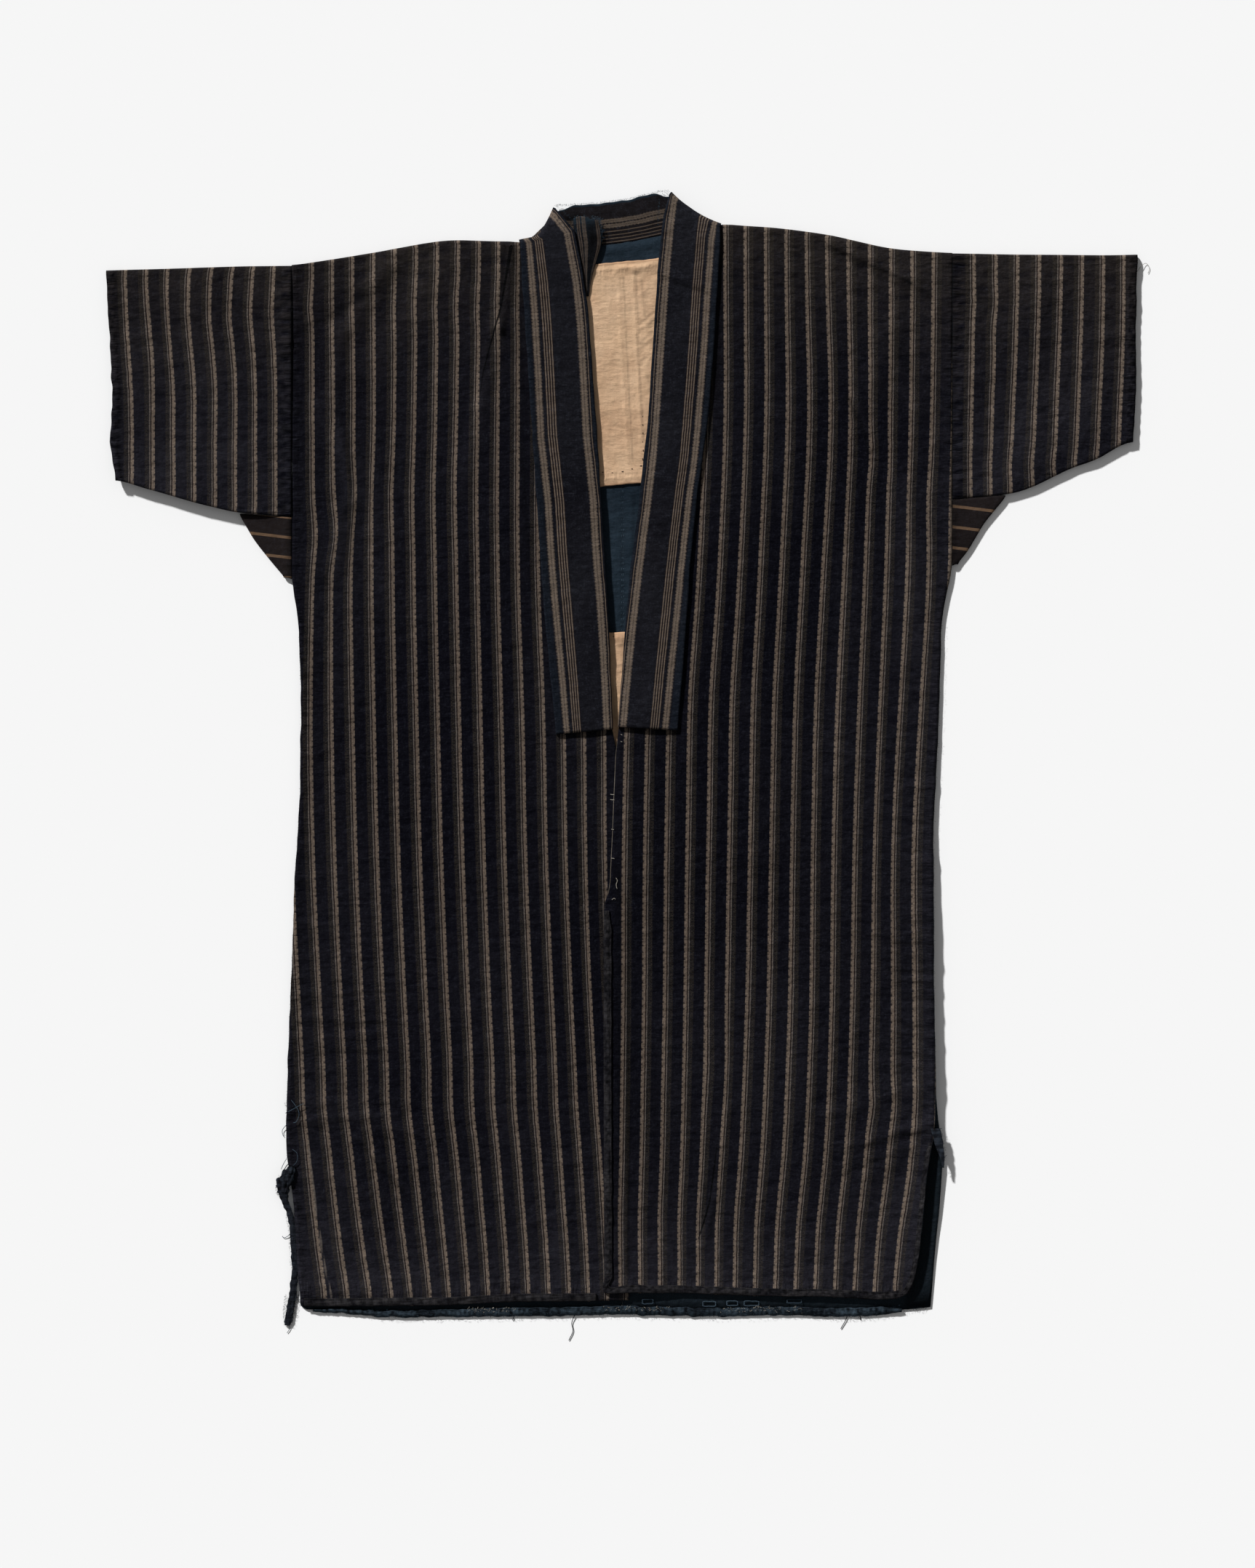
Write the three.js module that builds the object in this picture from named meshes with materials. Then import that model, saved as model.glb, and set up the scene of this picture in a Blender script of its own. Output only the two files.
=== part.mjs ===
// A short-sleeved farm work jacket of striped cotton, laid flat on its back.
// Millimetres, +Z up off the table, +Y towards the neck. +X is the wearer's left side,
// because the jacket is seen from its front. The origin is under the middle of the whole jacket.
//
// Each half of the body is one length of cloth that runs from the back hem over the
// shoulder to the front hem, as a narrow loom width is used, so there is no shoulder seam.
import * as THREE from 'three';

// Driving sizes
const bodyCloth = 1.6;      // striped cotton and its indigo lining, worn as one wall
const thinCloth = 1.0;      // lining, patches and turned edges
const collarCloth = 2.6;    // a strip folded in four
const seamGap = 0.3;        // between two pieces that are sewn together
const neckGap = 1.4;        // between the back neck edge and the collar's seam edge
const armholeX = 308.7;     // centre back to the armhole seam
const edgeBandWidth = 7;    // turned edge of the front and the hem
const slitBandWidth = 4.4;  // turned edge of the side slit
const backHemWidth = 6.5;   // rolled hem of the back, where it shows under the front
const neckPointX = 77;      // where the front panel's inner edge starts at the shoulder

// Heights of the middle of each layer above the table
const backZ = bodyCloth / 2;
const liningZ = bodyCloth + seamGap + thinCloth / 2;
const patchZ = liningZ + thinCloth + seamGap;
const frontZ = bodyCloth * 1.5 + seamGap;
const frontRiseOverPatches = 2 * (thinCloth + seamGap);
const overlapRise = bodyCloth + seamGap + 0.1;
const collarBackZ = collarCloth / 2;

// The top edge of both halves: the shoulder folds, and between them the neck seam
const topEdge = [
  { x: -308.7, y: 462.4 }, { x: -268, y: 468.5 }, { x: -214, y: 477.4 }, { x: -187, y: 483 },
  { x: -160, y: 486.4 }, { x: -132, y: 485.3 }, { x: -105, y: 484.6 }, { x: -92, y: 483.9 },
  { x: -60, y: 481.5 }, { x: -22, y: 480.5 }, { x: 10, y: 484.5 }, { x: 35, y: 489.9 },
  { x: 60, y: 495 }, { x: 91, y: 501.5 }, { x: 112, y: 499.5 }, { x: 139, y: 498 },
  { x: 166, y: 495 }, { x: 194, y: 491 }, { x: 221, y: 484.8 }, { x: 248, y: 478.5 },
  { x: 275, y: 476 }, { x: 308.7, y: 474 },
];

// Side edges from the shoulder down, with the slits below y = -346
const sideEdgeRight = [
  { y: 520, front: -308.7, back: -308.7 }, { y: 167, front: -308.7, back: -308.7 },
  { y: 150, front: -305.5, back: -305.5 }, { y: 133, front: -302.6, back: -302.6 },
  { y: 58, front: -299.9, back: -299.9 }, { y: -37, front: -301.2, back: -301.2 },
  { y: -111, front: -306, back: -306 }, { y: -173, front: -308, back: -308 },
  { y: -241, front: -310.8, back: -310.8 }, { y: -309, front: -313.2, back: -313.2 },
  { y: -350, front: -314.2, back: -314.2 }, { y: -377, front: -312.8, back: -312.8 },
  { y: -404, front: -307.4, back: -307.4 }, { y: -431, front: -305.7, back: -305.7 },
  { y: -475, front: -303.6, back: -303.6 }, { y: -500, front: -301, back: -301 },
  { y: -525, front: -299.5, back: -299.5 },
];
const sideEdgeLeft = [
  { y: 520, front: 308.7, back: 308.7 }, { y: 180, front: 308.7, back: 308.7 },
  { y: 164, front: 304.6, back: 304.6 }, { y: 133, front: 298.5, back: 298.5 },
  { y: 52, front: 296.5, back: 296.5 }, { y: -30, front: 292.4, back: 292.4 },
  { y: -71, front: 290.8, back: 290.8 }, { y: -111, front: 291.4, back: 291.4 },
  { y: -193, front: 291, back: 291 }, { y: -275, front: 292.2, back: 292.2 },
  { y: -332, front: 292.4, back: 293.5 }, { y: -350, front: 291, back: 298 },
  { y: -377, front: 286, back: 299.9 }, { y: -404, front: 283, back: 298.5 },
  { y: -431, front: 280.8, back: 295.8 }, { y: -472, front: 276, back: 291.5 },
  { y: -499, front: 269, back: 290 }, { y: -525, front: 262, back: 287 },
];

// Front edges: down the neckline under the collar, then to the hem. The wearer's left
// front laps over the right one below y = 15.
const frontEdgeRight = [
  { y: 520, x: -77 }, { y: 484, x: -77 }, { y: 400, x: -68 }, { y: 31, x: -9.5 }, { y: 0, x: -3 },
  { y: -60, x: 2 }, { y: -124, x: 5 }, { y: -300, x: 5.5 }, { y: -525, x: 7 },
];
const frontEdgeLeft = [
  { y: 520, x: 77 }, { y: 500, x: 77 }, { y: 400, x: 66 }, { y: 31, x: -3 }, { y: 7, x: -6 },
  { y: -60, x: -9 }, { y: -120, x: -11.6 }, { y: -136, x: -17.3 }, { y: -300, x: -17.3 },
  { y: -525, x: -16.5 },
];

// Hems
const frontHemRight = [
  { x: -320, y: -509.5 }, { x: -240, y: -510 }, { x: -160, y: -509 }, { x: -100, y: -506 },
  { x: -30, y: -505.5 }, { x: 10, y: -504 },
];
const frontHemLeft = [
  { x: -20, y: -497 }, { x: 60, y: -498 }, { x: 140, y: -501 }, { x: 200, y: -501.5 },
  { x: 240, y: -504 }, { x: 258, y: -503 }, { x: 275, y: -494 },
];
const backHem = [
  { x: -305, y: -511 }, { x: -268, y: -514.8 }, { x: -241, y: -517 }, { x: -214, y: -519.5 },
  { x: -160, y: -518.5 }, { x: -50, y: -517.5 }, { x: 0, y: -516.5 }, { x: 85, y: -518.2 },
  { x: 140, y: -517 }, { x: 194, y: -518 }, { x: 221, y: -519.5 }, { x: 248, y: -515.4 },
  { x: 275, y: -512.7 }, { x: 292, y: -510.5 },
];

// Sleeves, from the cuff to the armhole
const sleeveRight = [
  { x: -481, top: 457.6, bottom: 262.5 }, { x: -472, top: 458.2, bottom: 261.6 },
  { x: -437, top: 459, bottom: 253 }, { x: -398, top: 460.3, bottom: 241.4 },
  { x: -361, top: 461.6, bottom: 232.6 }, { x: -309, top: 462.2, bottom: 228.5 },
];
const sleeveLeft = [
  { x: 481.5, top: 472.8, bottom: 299 }, { x: 471, top: 472.2, bottom: 297.2 },
  { x: 442, top: 472, bottom: 281.5 }, { x: 420, top: 472.4, bottom: 274.5 },
  { x: 381, top: 472.6, bottom: 255.2 }, { x: 361.8, top: 472.8, bottom: 249.8 },
  { x: 309, top: 473.8, bottom: 245 },
];

// The open edge of each cuff, which is not quite straight
const cuffRight = [
  { y: 457.6, x: -482.4 }, { y: 400, x: -479 }, { y: 340, x: -476 }, { y: 298, x: -478.6 },
  { y: 262, x: -472.6 },
];
const cuffLeft = [
  { y: 472.8, x: 481.6 }, { y: 420, x: 480.6 }, { y: 340, x: 480 }, { y: 299, x: 478 },
];

// Underarm gussets: the folded outer edge from the sleeve to the side seam
const gussetRight = [
  { x: -357.5, y: 230.9 }, { x: -343.4, y: 206.7 }, { x: -330.5, y: 190.4 }, { x: -314.5, y: 171.5 },
];
const gussetLeft = [
  { x: 359, y: 248.1 }, { x: 338, y: 222.6 }, { x: 322.8, y: 196.6 }, { x: 312.5, y: 184 },
];

// The collar, from its end on the wearer's right front, round the neck, to its end on the left.
// seam is the edge sewn to the body and free the open edge. Past the front panel's own edge the
// collar sinks by that much towards the cloth inside the neck.
const collarFrontRight = [
  { seamX: -61.5, seamY: 24.5, freeX: -8.6, freeY: 29.2, sink: 0 },
  { seamX: -66.5, seamY: 77, freeX: -10.6, freeY: 83, sink: 0 },
  { seamX: -72, seamY: 132, freeX: -13.1, freeY: 137.7, sink: 0.2 },
  { seamX: -76, seamY: 188, freeX: -16.5, freeY: 192, sink: 0.5 },
  { seamX: -79.6, seamY: 242, freeX: -19.7, freeY: 245, sink: 0.9 },
  { seamX: -83.5, seamY: 302, freeX: -23.2, freeY: 303, sink: 1.2 },
  { seamX: -87.3, seamY: 360, freeX: -27.2, freeY: 358, sink: 1.3 },
  { seamX: -90.5, seamY: 408, freeX: -30.6, freeY: 406, sink: 1.3 },
  { seamX: -93, seamY: 446, freeX: -34.7, freeY: 443.7, sink: 1.2 },
  { seamX: -94.3, seamY: 468, freeX: -40.1, freeY: 472, sink: 0.9 },
  { seamX: -95, seamY: 481, freeX: -44.6, freeY: 495, sink: 0.4 },
];
const collarFrontLeft = [
  { seamX: 91.8, seamY: 482, freeX: 38.6, freeY: 509, sink: 0.3 },
  { seamX: 90.6, seamY: 462, freeX: 36, freeY: 484, sink: 0.6 },
  { seamX: 88.4, seamY: 432.8, freeX: 32.8, freeY: 448, sink: 0.9 },
  { seamX: 85.3, seamY: 378.8, freeX: 28.9, freeY: 389.6, sink: 1.1 },
  { seamX: 80.8, seamY: 327, freeX: 25.4, freeY: 334, sink: 1.1 },
  { seamX: 75.3, seamY: 282, freeX: 21, freeY: 289, sink: 1 },
  { seamX: 69.8, seamY: 242, freeX: 16.5, freeY: 244.8, sink: 0.8 },
  { seamX: 64.3, seamY: 190, freeX: 9.9, freeY: 195.4, sink: 0.5 },
  { seamX: 60.4, seamY: 134, freeX: 4.1, freeY: 137.7, sink: 0.2 },
  { seamX: 56.4, seamY: 80, freeX: 0.2, freeY: 84, sink: 0 },
  { seamX: 51.7, seamY: 28.2, freeX: -4, freeY: 31.3, sink: 0 },
];
// Its folds over the shoulders lie a little hollow between the seam edge and the open edge
const collarFoldRight = {
  seamX: -96.5, seamY: 488, freeX: -63.2, freeY: 518.8, outX: -0.74, outY: 0.676, hollow: 7,
};
const collarFoldLeft = {
  seamX: 93.5, seamY: 507, freeX: 44.1, freeY: 532, outX: 0.46, outY: 0.888, hollow: 2.5,
};
const collarTopEdge = [
  { x: -63.2, y: 518.8 }, { x: -40, y: 520 }, { x: -23.8, y: 521.2 }, { x: 3.4, y: 525 },
  { x: 25.2, y: 530.4 }, { x: 44.1, y: 532 },
];

// Inside the neck: an indigo lining, and two undyed cotton patches sewn over it
const backLiningPiece = { left: -80, right: 82, bottom: 60, top: 474, tilt: 0.1 };
const yokePatchPiece = { left: -98, right: 102, bottom: 258, top: 466.5, tilt: 0.085 };
const waistPatchPiece = { left: -62, right: 64, bottom: -58, top: 120, tilt: 0.02 };

// Folds that stand up from the front: from one end to the other, half width and height
const bodyFolds = [
  { x1: -118, y1: 480, x2: -136, y2: 350, halfWidth: 9, height: 1.9 },
  { x1: -212, y1: 474, x2: -262, y2: 392, halfWidth: 13, height: 1.7 },
  { x1: -175, y1: 455, x2: -232, y2: 372, halfWidth: 15, height: 1.4 },
  { x1: -284, y1: 330, x2: -240, y2: 262, halfWidth: 14, height: 1.2 },
  { x1: -262, y1: 210, x2: -256, y2: 60, halfWidth: 16, height: 1.1 },
  { x1: 268, y1: 452, x2: 236, y2: 356, halfWidth: 14, height: 1.3 },
  { x1: 262, y1: 260, x2: 274, y2: 108, halfWidth: 14, height: 1.3 },
  { x1: 212, y1: 180, x2: 206, y2: 10, halfWidth: 18, height: 1 },
  { x1: -290, y1: -315, x2: -180, y2: -352, halfWidth: 14, height: 1 },
  { x1: 190, y1: -330, x2: 282, y2: -300, halfWidth: 12, height: 1.1 },
  { x1: 120, y1: -390, x2: 114, y2: -456, halfWidth: 14, height: 1.2 },
  { x1: -160, y1: -390, x2: -152, y2: -462, halfWidth: 14, height: 1.2 },
];
const sleeveFolds = [
  { x1: -345, y1: 452, x2: -330, y2: 300, halfWidth: 12, height: 1.5 },
  { x1: -405, y1: 440, x2: -392, y2: 262, halfWidth: 16, height: 1.2 },
  { x1: -455, y1: 420, x2: -448, y2: 290, halfWidth: 14, height: 0.9 },
  { x1: 338, y1: 462, x2: 330, y2: 300, halfWidth: 12, height: 1.3 },
  { x1: 392, y1: 440, x2: 380, y2: 276, halfWidth: 15, height: 1.2 },
  { x1: 448, y1: 440, x2: 440, y2: 300, halfWidth: 15, height: 1 },
];

const mix = (a, b, share) => a + (b - a) * share;
const clamp01 = (value) => Math.min(1, Math.max(0, value));
const ease = (value) => clamp01(value) ** 2 * (3 - 2 * clamp01(value));

// Reads one column of a table at a place between its rows
function read(table, atColumn, at, column) {
  const rising = table[table.length - 1][atColumn] > table[0][atColumn];
  const rows = rising ? table : [...table].reverse();
  if (at <= rows[0][atColumn]) return rows[0][column];
  for (let k = 1; k < rows.length; k += 1) {
    if (at <= rows[k][atColumn]) {
      const share = (at - rows[k - 1][atColumn]) / (rows[k][atColumn] - rows[k - 1][atColumn]);
      return mix(rows[k - 1][column], rows[k][column], share);
    }
  }
  return rows[rows.length - 1][column];
}

// How far a point is from the line of a fold, and how high the fold stands there
function foldHeight(folds, x, y) {
  let height = 0;
  for (const fold of folds) {
    const dx = fold.x2 - fold.x1;
    const dy = fold.y2 - fold.y1;
    const share = clamp01(((x - fold.x1) * dx + (y - fold.y1) * dy) / (dx * dx + dy * dy));
    const away = Math.hypot(x - fold.x1 - share * dx, y - fold.y1 - share * dy);
    height += fold.height * Math.exp(-((away / fold.halfWidth) ** 2));
  }
  return height;
}

// The room that the lining and patches take up under the front panels
const patchesReach = { left: -108, right: 112, bottom: -82, top: 495, fade: 80 };

function riseOverPatches(x, y) {
  const outX = Math.max(patchesReach.left - x, x - patchesReach.right, 0);
  const outY = Math.max(patchesReach.bottom - y, y - patchesReach.top, 0);
  return frontRiseOverPatches * ease(1 - Math.hypot(outX, outY) / patchesReach.fade);
}

// Height of the middle of a front panel; side is -1 for the wearer's right and 1 for the left
function frontHeight(side, x, y) {
  const shoulderPuff = { height: 1.4, reach: 16 };
  const belowShoulder = Math.max(0, read(topEdge, 'x', x, 'y') - y);
  const puff = shoulderPuff.height * Math.exp(-belowShoulder / shoulderPuff.reach);
  const nearNeck = ease((160 - Math.abs(x)) / 60) * ease(y / 60);
  const lap = side > 0 ? overlapRise * ease((58 - x) / 40) * ease((84 - y) / 36) : 0;
  const ripple = 0.25 * (1 + Math.sin(x / 31 + y / 47)) * (1 - nearNeck);
  const creases = foldHeight(bodyFolds, x, y);
  return frontZ + riseOverPatches(x, y) + lap + puff * (1 - 0.6 * nearNeck) + ripple + creases;
}

function sleeveHeight(x, y) {
  return frontZ + 0.7 + 0.25 * (1 + Math.sin(x / 23 - y / 41)) + foldHeight(sleeveFolds, x, y);
}

// Turns a grid of points in the middle of a cloth into a closed wall of that thickness.
// round joins the last column to the first, as in a sleeve.
function clothWall(grid, thickness, round = false) {
  const rows = grid.length;
  const columns = grid[0].length;
  const positions = [];
  const along = new THREE.Vector3();
  const across = new THREE.Vector3();
  const normal = new THREE.Vector3();
  const column = (j) => (round ? (j + columns) % columns : Math.min(columns - 1, Math.max(0, j)));
  const row = (i) => Math.min(rows - 1, Math.max(0, i));
  for (const face of [0.5, -0.5]) {
    for (let i = 0; i < rows; i += 1) {
      for (let j = 0; j < columns; j += 1) {
        along.subVectors(grid[row(i + 1)][j], grid[row(i - 1)][j]);
        across.subVectors(grid[i][column(j + 1)], grid[i][column(j - 1)]);
        normal.crossVectors(along, across).normalize().multiplyScalar(thickness * face);
        normal.add(grid[i][j]);
        positions.push(normal.x, normal.y, normal.z);
      }
    }
  }
  const index = [];
  const quad = (a, b, c, d) => index.push(a, b, c, a, c, d);
  const outer = (i, j) => i * columns + column(j);
  const inner = (i, j) => outer(i, j) + rows * columns;
  const spans = round ? columns : columns - 1;
  for (let i = 0; i < rows - 1; i += 1) {
    for (let j = 0; j < spans; j += 1) {
      quad(outer(i, j), outer(i + 1, j), outer(i + 1, j + 1), outer(i, j + 1));
      quad(inner(i, j), inner(i, j + 1), inner(i + 1, j + 1), inner(i + 1, j));
    }
    if (!round) {
      const last = columns - 1;
      quad(outer(i, 0), inner(i, 0), inner(i + 1, 0), outer(i + 1, 0));
      quad(outer(i, last), outer(i + 1, last), inner(i + 1, last), inner(i, last));
    }
  }
  for (let j = 0; j < spans; j += 1) {
    const end = rows - 1;
    quad(outer(0, j), outer(0, j + 1), inner(0, j + 1), inner(0, j));
    quad(outer(end, j), inner(end, j), inner(end, j + 1), outer(end, j + 1));
  }
  const geometry = new THREE.BufferGeometry();
  geometry.setAttribute('position', new THREE.Float32BufferAttribute(positions, 3));
  geometry.setIndex(index);
  return geometry;
}

// One half of the body: the back from its hem, over the shoulder, and the front to its hem
function bodyHalf(side) {
  const columns = 15;
  const backRows = 9;
  const turnRows = 3;       // where the back rows swing from the centre seam to the neck
  const foldSteps = [-54, -18, 18, 54];
  const frontRows = 26;
  const sides = side < 0 ? sideEdgeRight : sideEdgeLeft;
  const frontEdge = side < 0 ? frontEdgeRight : frontEdgeLeft;
  const frontHem = side < 0 ? frontHemRight : frontHemLeft;
  const centreX = side * seamGap / 2;
  const shares = Array.from({ length: columns }, (_, j) => j / (columns - 1));
  const topY = (x) => read(topEdge, 'x', x, 'y');
  const shoulderX = (share) => mix(side * armholeX, side * neckPointX, share);
  const foldRadius = (x) => (frontHeight(side, x, topY(x)) - backZ) / 2;
  const grid = [];

  const turnStart = { outer: 0.955, inner: 0.999 };
  for (let i = 0; i <= backRows; i += 1) {
    grid.push(shares.map((share) => {
      const up = i / backRows;
      const hemX = mix(read(sides, 'y', -512, 'back'), centreX, share);
      const hemY = read(backHem, 'x', hemX, 'y');
      const topShare = mix(turnStart.outer, turnStart.inner, share);
      const topYHere = mix(topY(side * armholeX), topY(0) - neckGap / 2, share) * topShare;
      const y = mix(hemY, topYHere, up);
      return new THREE.Vector3(mix(read(sides, 'y', y, 'back'), centreX, share), y, backZ);
    }));
  }
  for (let i = 1; i <= turnRows; i += 1) {
    const turn = i / turnRows;
    grid.push(shares.map((share, j) => {
      const start = grid[backRows][j];
      const x = shoulderX(share);
      const y = topY(x) - foldRadius(x);
      return new THREE.Vector3(mix(start.x, x, turn), mix(start.y, y, turn), backZ);
    }));
  }
  // The inner end of a turning row stays on the neck edge
  for (let i = backRows + 1; i < backRows + turnRows; i += 1) {
    const end = grid[i][columns - 1];
    end.y = Math.max(end.y, topY(end.x) - neckGap / 2 - 0.4);
  }
  for (const angle of foldSteps) {
    const turn = THREE.MathUtils.degToRad(angle);
    grid.push(shares.map((share) => {
      const x = shoulderX(share);
      const radius = foldRadius(x);
      const y = topY(x) - radius + radius * Math.cos(turn);
      return new THREE.Vector3(x, y, backZ + radius + radius * Math.sin(turn));
    }));
  }
  for (let i = 0; i <= frontRows; i += 1) {
    grid.push(shares.map((share) => {
      const down = i / frontRows;
      const x0 = shoulderX(share);
      const hemSide = read(sides, 'y', -500, 'front');
      const hemX = mix(hemSide, read(frontEdge, 'y', -500, 'x'), share);
      const y = mix(topY(x0) - foldRadius(x0), read(frontHem, 'x', hemX, 'y'), down);
      const x = mix(read(sides, 'y', y, 'front'), read(frontEdge, 'y', y, 'x'), share);
      return new THREE.Vector3(x, y, frontHeight(side, x, y));
    }));
  }
  return clothWall(grid, bodyCloth);
}

// A sleeve is a tube, pressed flat: folded along its top and sewn along its slanted underside
function sleeve(side) {
  const table = side < 0 ? sleeveRight : sleeveLeft;
  const stations = 15;
  const backSteps = 5;
  const frontSteps = 10;
  const turnAngles = [-54, -18, 18, 54];
  const cuff = side < 0 ? cuffRight : cuffLeft;
  const cuffX = table[0].x;
  const endX = table[table.length - 1].x;
  const cuffReach = 3;      // stations over which the cuff's line straightens
  const grid = [];
  for (let i = 0; i < stations; i += 1) {
    const x = mix(cuffX, endX, i / (stations - 1));
    const top = read(table, 'x', x, 'top');
    const bottom = read(table, 'x', x, 'bottom');
    const radiusAt = (y) => (sleeveHeight(x, y) - backZ) / 2;
    const topRadius = radiusAt(top);
    const bottomRadius = radiusAt(bottom);
    const ring = [];
    for (let k = 0; k <= backSteps; k += 1) {
      const y = mix(bottom + bottomRadius, top - topRadius, k / backSteps);
      ring.push(new THREE.Vector3(x, y, backZ));
    }
    for (const angle of turnAngles) {
      const turn = THREE.MathUtils.degToRad(angle);
      const y = top - topRadius + topRadius * Math.cos(turn);
      ring.push(new THREE.Vector3(x, y, backZ + topRadius * (1 + Math.sin(turn))));
    }
    for (let k = 0; k <= frontSteps; k += 1) {
      const y = mix(top - topRadius, bottom + bottomRadius, k / frontSteps);
      const roll = k === 0 ? top : k === frontSteps ? bottom : y;
      ring.push(new THREE.Vector3(x, y, sleeveHeight(x, roll)));
    }
    for (const angle of [...turnAngles].reverse()) {
      const turn = THREE.MathUtils.degToRad(angle);
      const y = bottom + bottomRadius - bottomRadius * Math.cos(turn);
      ring.push(new THREE.Vector3(x, y, backZ + bottomRadius * (1 + Math.sin(turn))));
    }
    const nearCuff = clamp01(1 - i / cuffReach);
    for (const point of ring) point.x += (read(cuff, 'y', point.y, 'x') - cuffX) * nearCuff;
    grid.push(ring);
  }
  return clothWall(grid, bodyCloth, true);
}

// An underarm gusset: a triangle on the front and on the back, folded at its slanted edge
function gusset(side) {
  const edge = side < 0 ? gussetRight : gussetLeft;
  const sleeveTable = side < 0 ? sleeveRight : sleeveLeft;
  const rows = 8;
  const flatSteps = 4;
  const seamX = side * (armholeX + seamGap);
  const topSeamY = sleeveTable[sleeveTable.length - 1].bottom - bodyCloth / 2 - seamGap;
  const lowSeamY = edge[edge.length - 1].y - 1.5;
  const grid = [];
  for (let i = 0; i < rows; i += 1) {
    const down = i / (rows - 1);
    const foldY = mix(edge[0].y, edge[edge.length - 1].y, down);
    const foldX = read(edge, 'y', foldY, 'x');
    const seamY = mix(topSeamY, lowSeamY, down);
    const height = frontZ + 0.5 * (1 - down);
    const radius = (height - backZ) / 2;
    const bend = foldX - side * radius;
    const line = [];
    for (let k = 0; k <= flatSteps; k += 1) {
      const share = k / flatSteps;
      line.push(new THREE.Vector3(mix(seamX, bend, share), mix(seamY, foldY, share), backZ));
    }
    for (const angle of [-45, 0, 45]) {
      const turn = THREE.MathUtils.degToRad(angle);
      const x = bend + side * radius * Math.cos(turn);
      line.push(new THREE.Vector3(x, foldY, backZ + radius * (1 + Math.sin(turn))));
    }
    for (let k = flatSteps; k >= 0; k -= 1) {
      const share = k / flatSteps;
      line.push(new THREE.Vector3(mix(seamX, bend, share), mix(seamY, foldY, share), height));
    }
    grid.push(line);
  }
  return clothWall(grid, bodyCloth);
}

// The collar: one long folded strip that lies on both fronts and stands behind the neck
function collar() {
  const widthSteps = 5;
  const shares = Array.from({ length: widthSteps + 1 }, (_, j) => j / widthSteps);
  const backStations = 8;
  const grid = [];

  const slack = 0.25;       // between the straight lengths of the two meshes
  const sinkReach = { start: 4, length: 24 };
  const onFront = (side, station) => shares.map((share) => {
    const x = mix(station.seamX, station.freeX, share);
    const y = mix(station.seamY, station.freeY, share);
    const panelEdge = read(side < 0 ? frontEdgeRight : frontEdgeLeft, 'y', y, 'x');
    const past = -side * (x - panelEdge) - sinkReach.start;
    const sink = station.sink * ease(past / sinkReach.length);
    const under = frontHeight(side, x, Math.min(y, read(topEdge, 'x', x, 'y') - 4));
    const clear = bodyCloth / 2 + seamGap + slack + collarCloth / 2;
    return new THREE.Vector3(x, y, under + clear - sink);
  });
  const inFrom = (fold, share, inward, z) => {
    const inset = fold.hollow * Math.sin(Math.PI * share) + inward;
    const x = mix(fold.seamX, fold.freeX, share) - fold.outX * inset;
    const y = mix(fold.seamY, fold.freeY, share) - fold.outY * inset;
    return new THREE.Vector3(x, y, z);
  };
  const turn = (fold, frontRow, angles) => {
    for (const angle of angles) {
      const at = THREE.MathUtils.degToRad(angle);
      grid.push(shares.map((share, j) => {
        const radius = (frontRow[j].z - collarBackZ) / 2;
        const z = collarBackZ + radius * (1 + Math.sin(at));
        return inFrom(fold, share, radius * (1 - Math.cos(at)), z);
      }));
    }
  };

  for (const station of collarFrontRight) grid.push(onFront(-1, station));
  turn(collarFoldRight, grid[grid.length - 1], [80, 45, 0, -45, -90]);
  const lastRight = grid[grid.length - 1];
  const frontLeft = collarFrontLeft.map((station) => onFront(1, station));
  const leftRadius = (frontLeft[0][0].z - collarBackZ) / 2;
  const firstLeft = shares.map((share) => inFrom(collarFoldLeft, share, leftRadius, collarBackZ));
  for (let i = 1; i < backStations; i += 1) {
    const share = i / backStations;
    const seamX = mix(lastRight[0].x, firstLeft[0].x, share);
    const freeX = mix(lastRight[widthSteps].x, firstLeft[widthSteps].x, share);
    const seamY = read(topEdge, 'x', seamX, 'y') + neckGap;
    const freeY = read(collarTopEdge, 'x', freeX, 'y');
    grid.push(shares.map((across) => new THREE.Vector3(
      mix(seamX, freeX, across), mix(seamY, freeY, across), collarBackZ,
    )));
  }
  turn(collarFoldLeft, frontLeft[0], [-90, -45, 0, 45, 80]);
  grid.push(...frontLeft);
  return clothWall(grid, collarCloth);
}

// The frayed end of the collar's inner layer, which stands in the neck on the wearer's right
function collarFlap() {
  const rows = [
    { y: 506.5, left: -41, right: -25 }, { y: 494, left: -42.6, right: -23.4 },
    { y: 482, left: -40.6, right: -24.6 }, { y: 468, left: -37.8, right: -27.5 },
    { y: 452, left: -35, right: -30 }, { y: 434, left: -32.4, right: -30.6 },
  ];
  const across = 3;
  const heightZ = patchZ + thinCloth + seamGap + 0.1;
  return clothWall(rows.map((row) => Array.from({ length: across + 1 }, (_, j) => (
    new THREE.Vector3(mix(row.left, row.right, j / across), row.y, heightZ)
  ))), thinCloth);
}

// A four-sided piece that lies flat inside the neck, a little tilted
function flatPiece(piece, z, columns, rows) {
  const grid = [];
  for (let i = 0; i <= rows; i += 1) {
    const line = [];
    for (let j = 0; j <= columns; j += 1) {
      const x = mix(piece.left, piece.right, j / columns);
      const y = mix(piece.top, piece.bottom, i / rows);
      line.push(new THREE.Vector3(x, y + piece.tilt * x, z));
    }
    grid.push(line);
  }
  return clothWall(grid, thinCloth);
}

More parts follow.
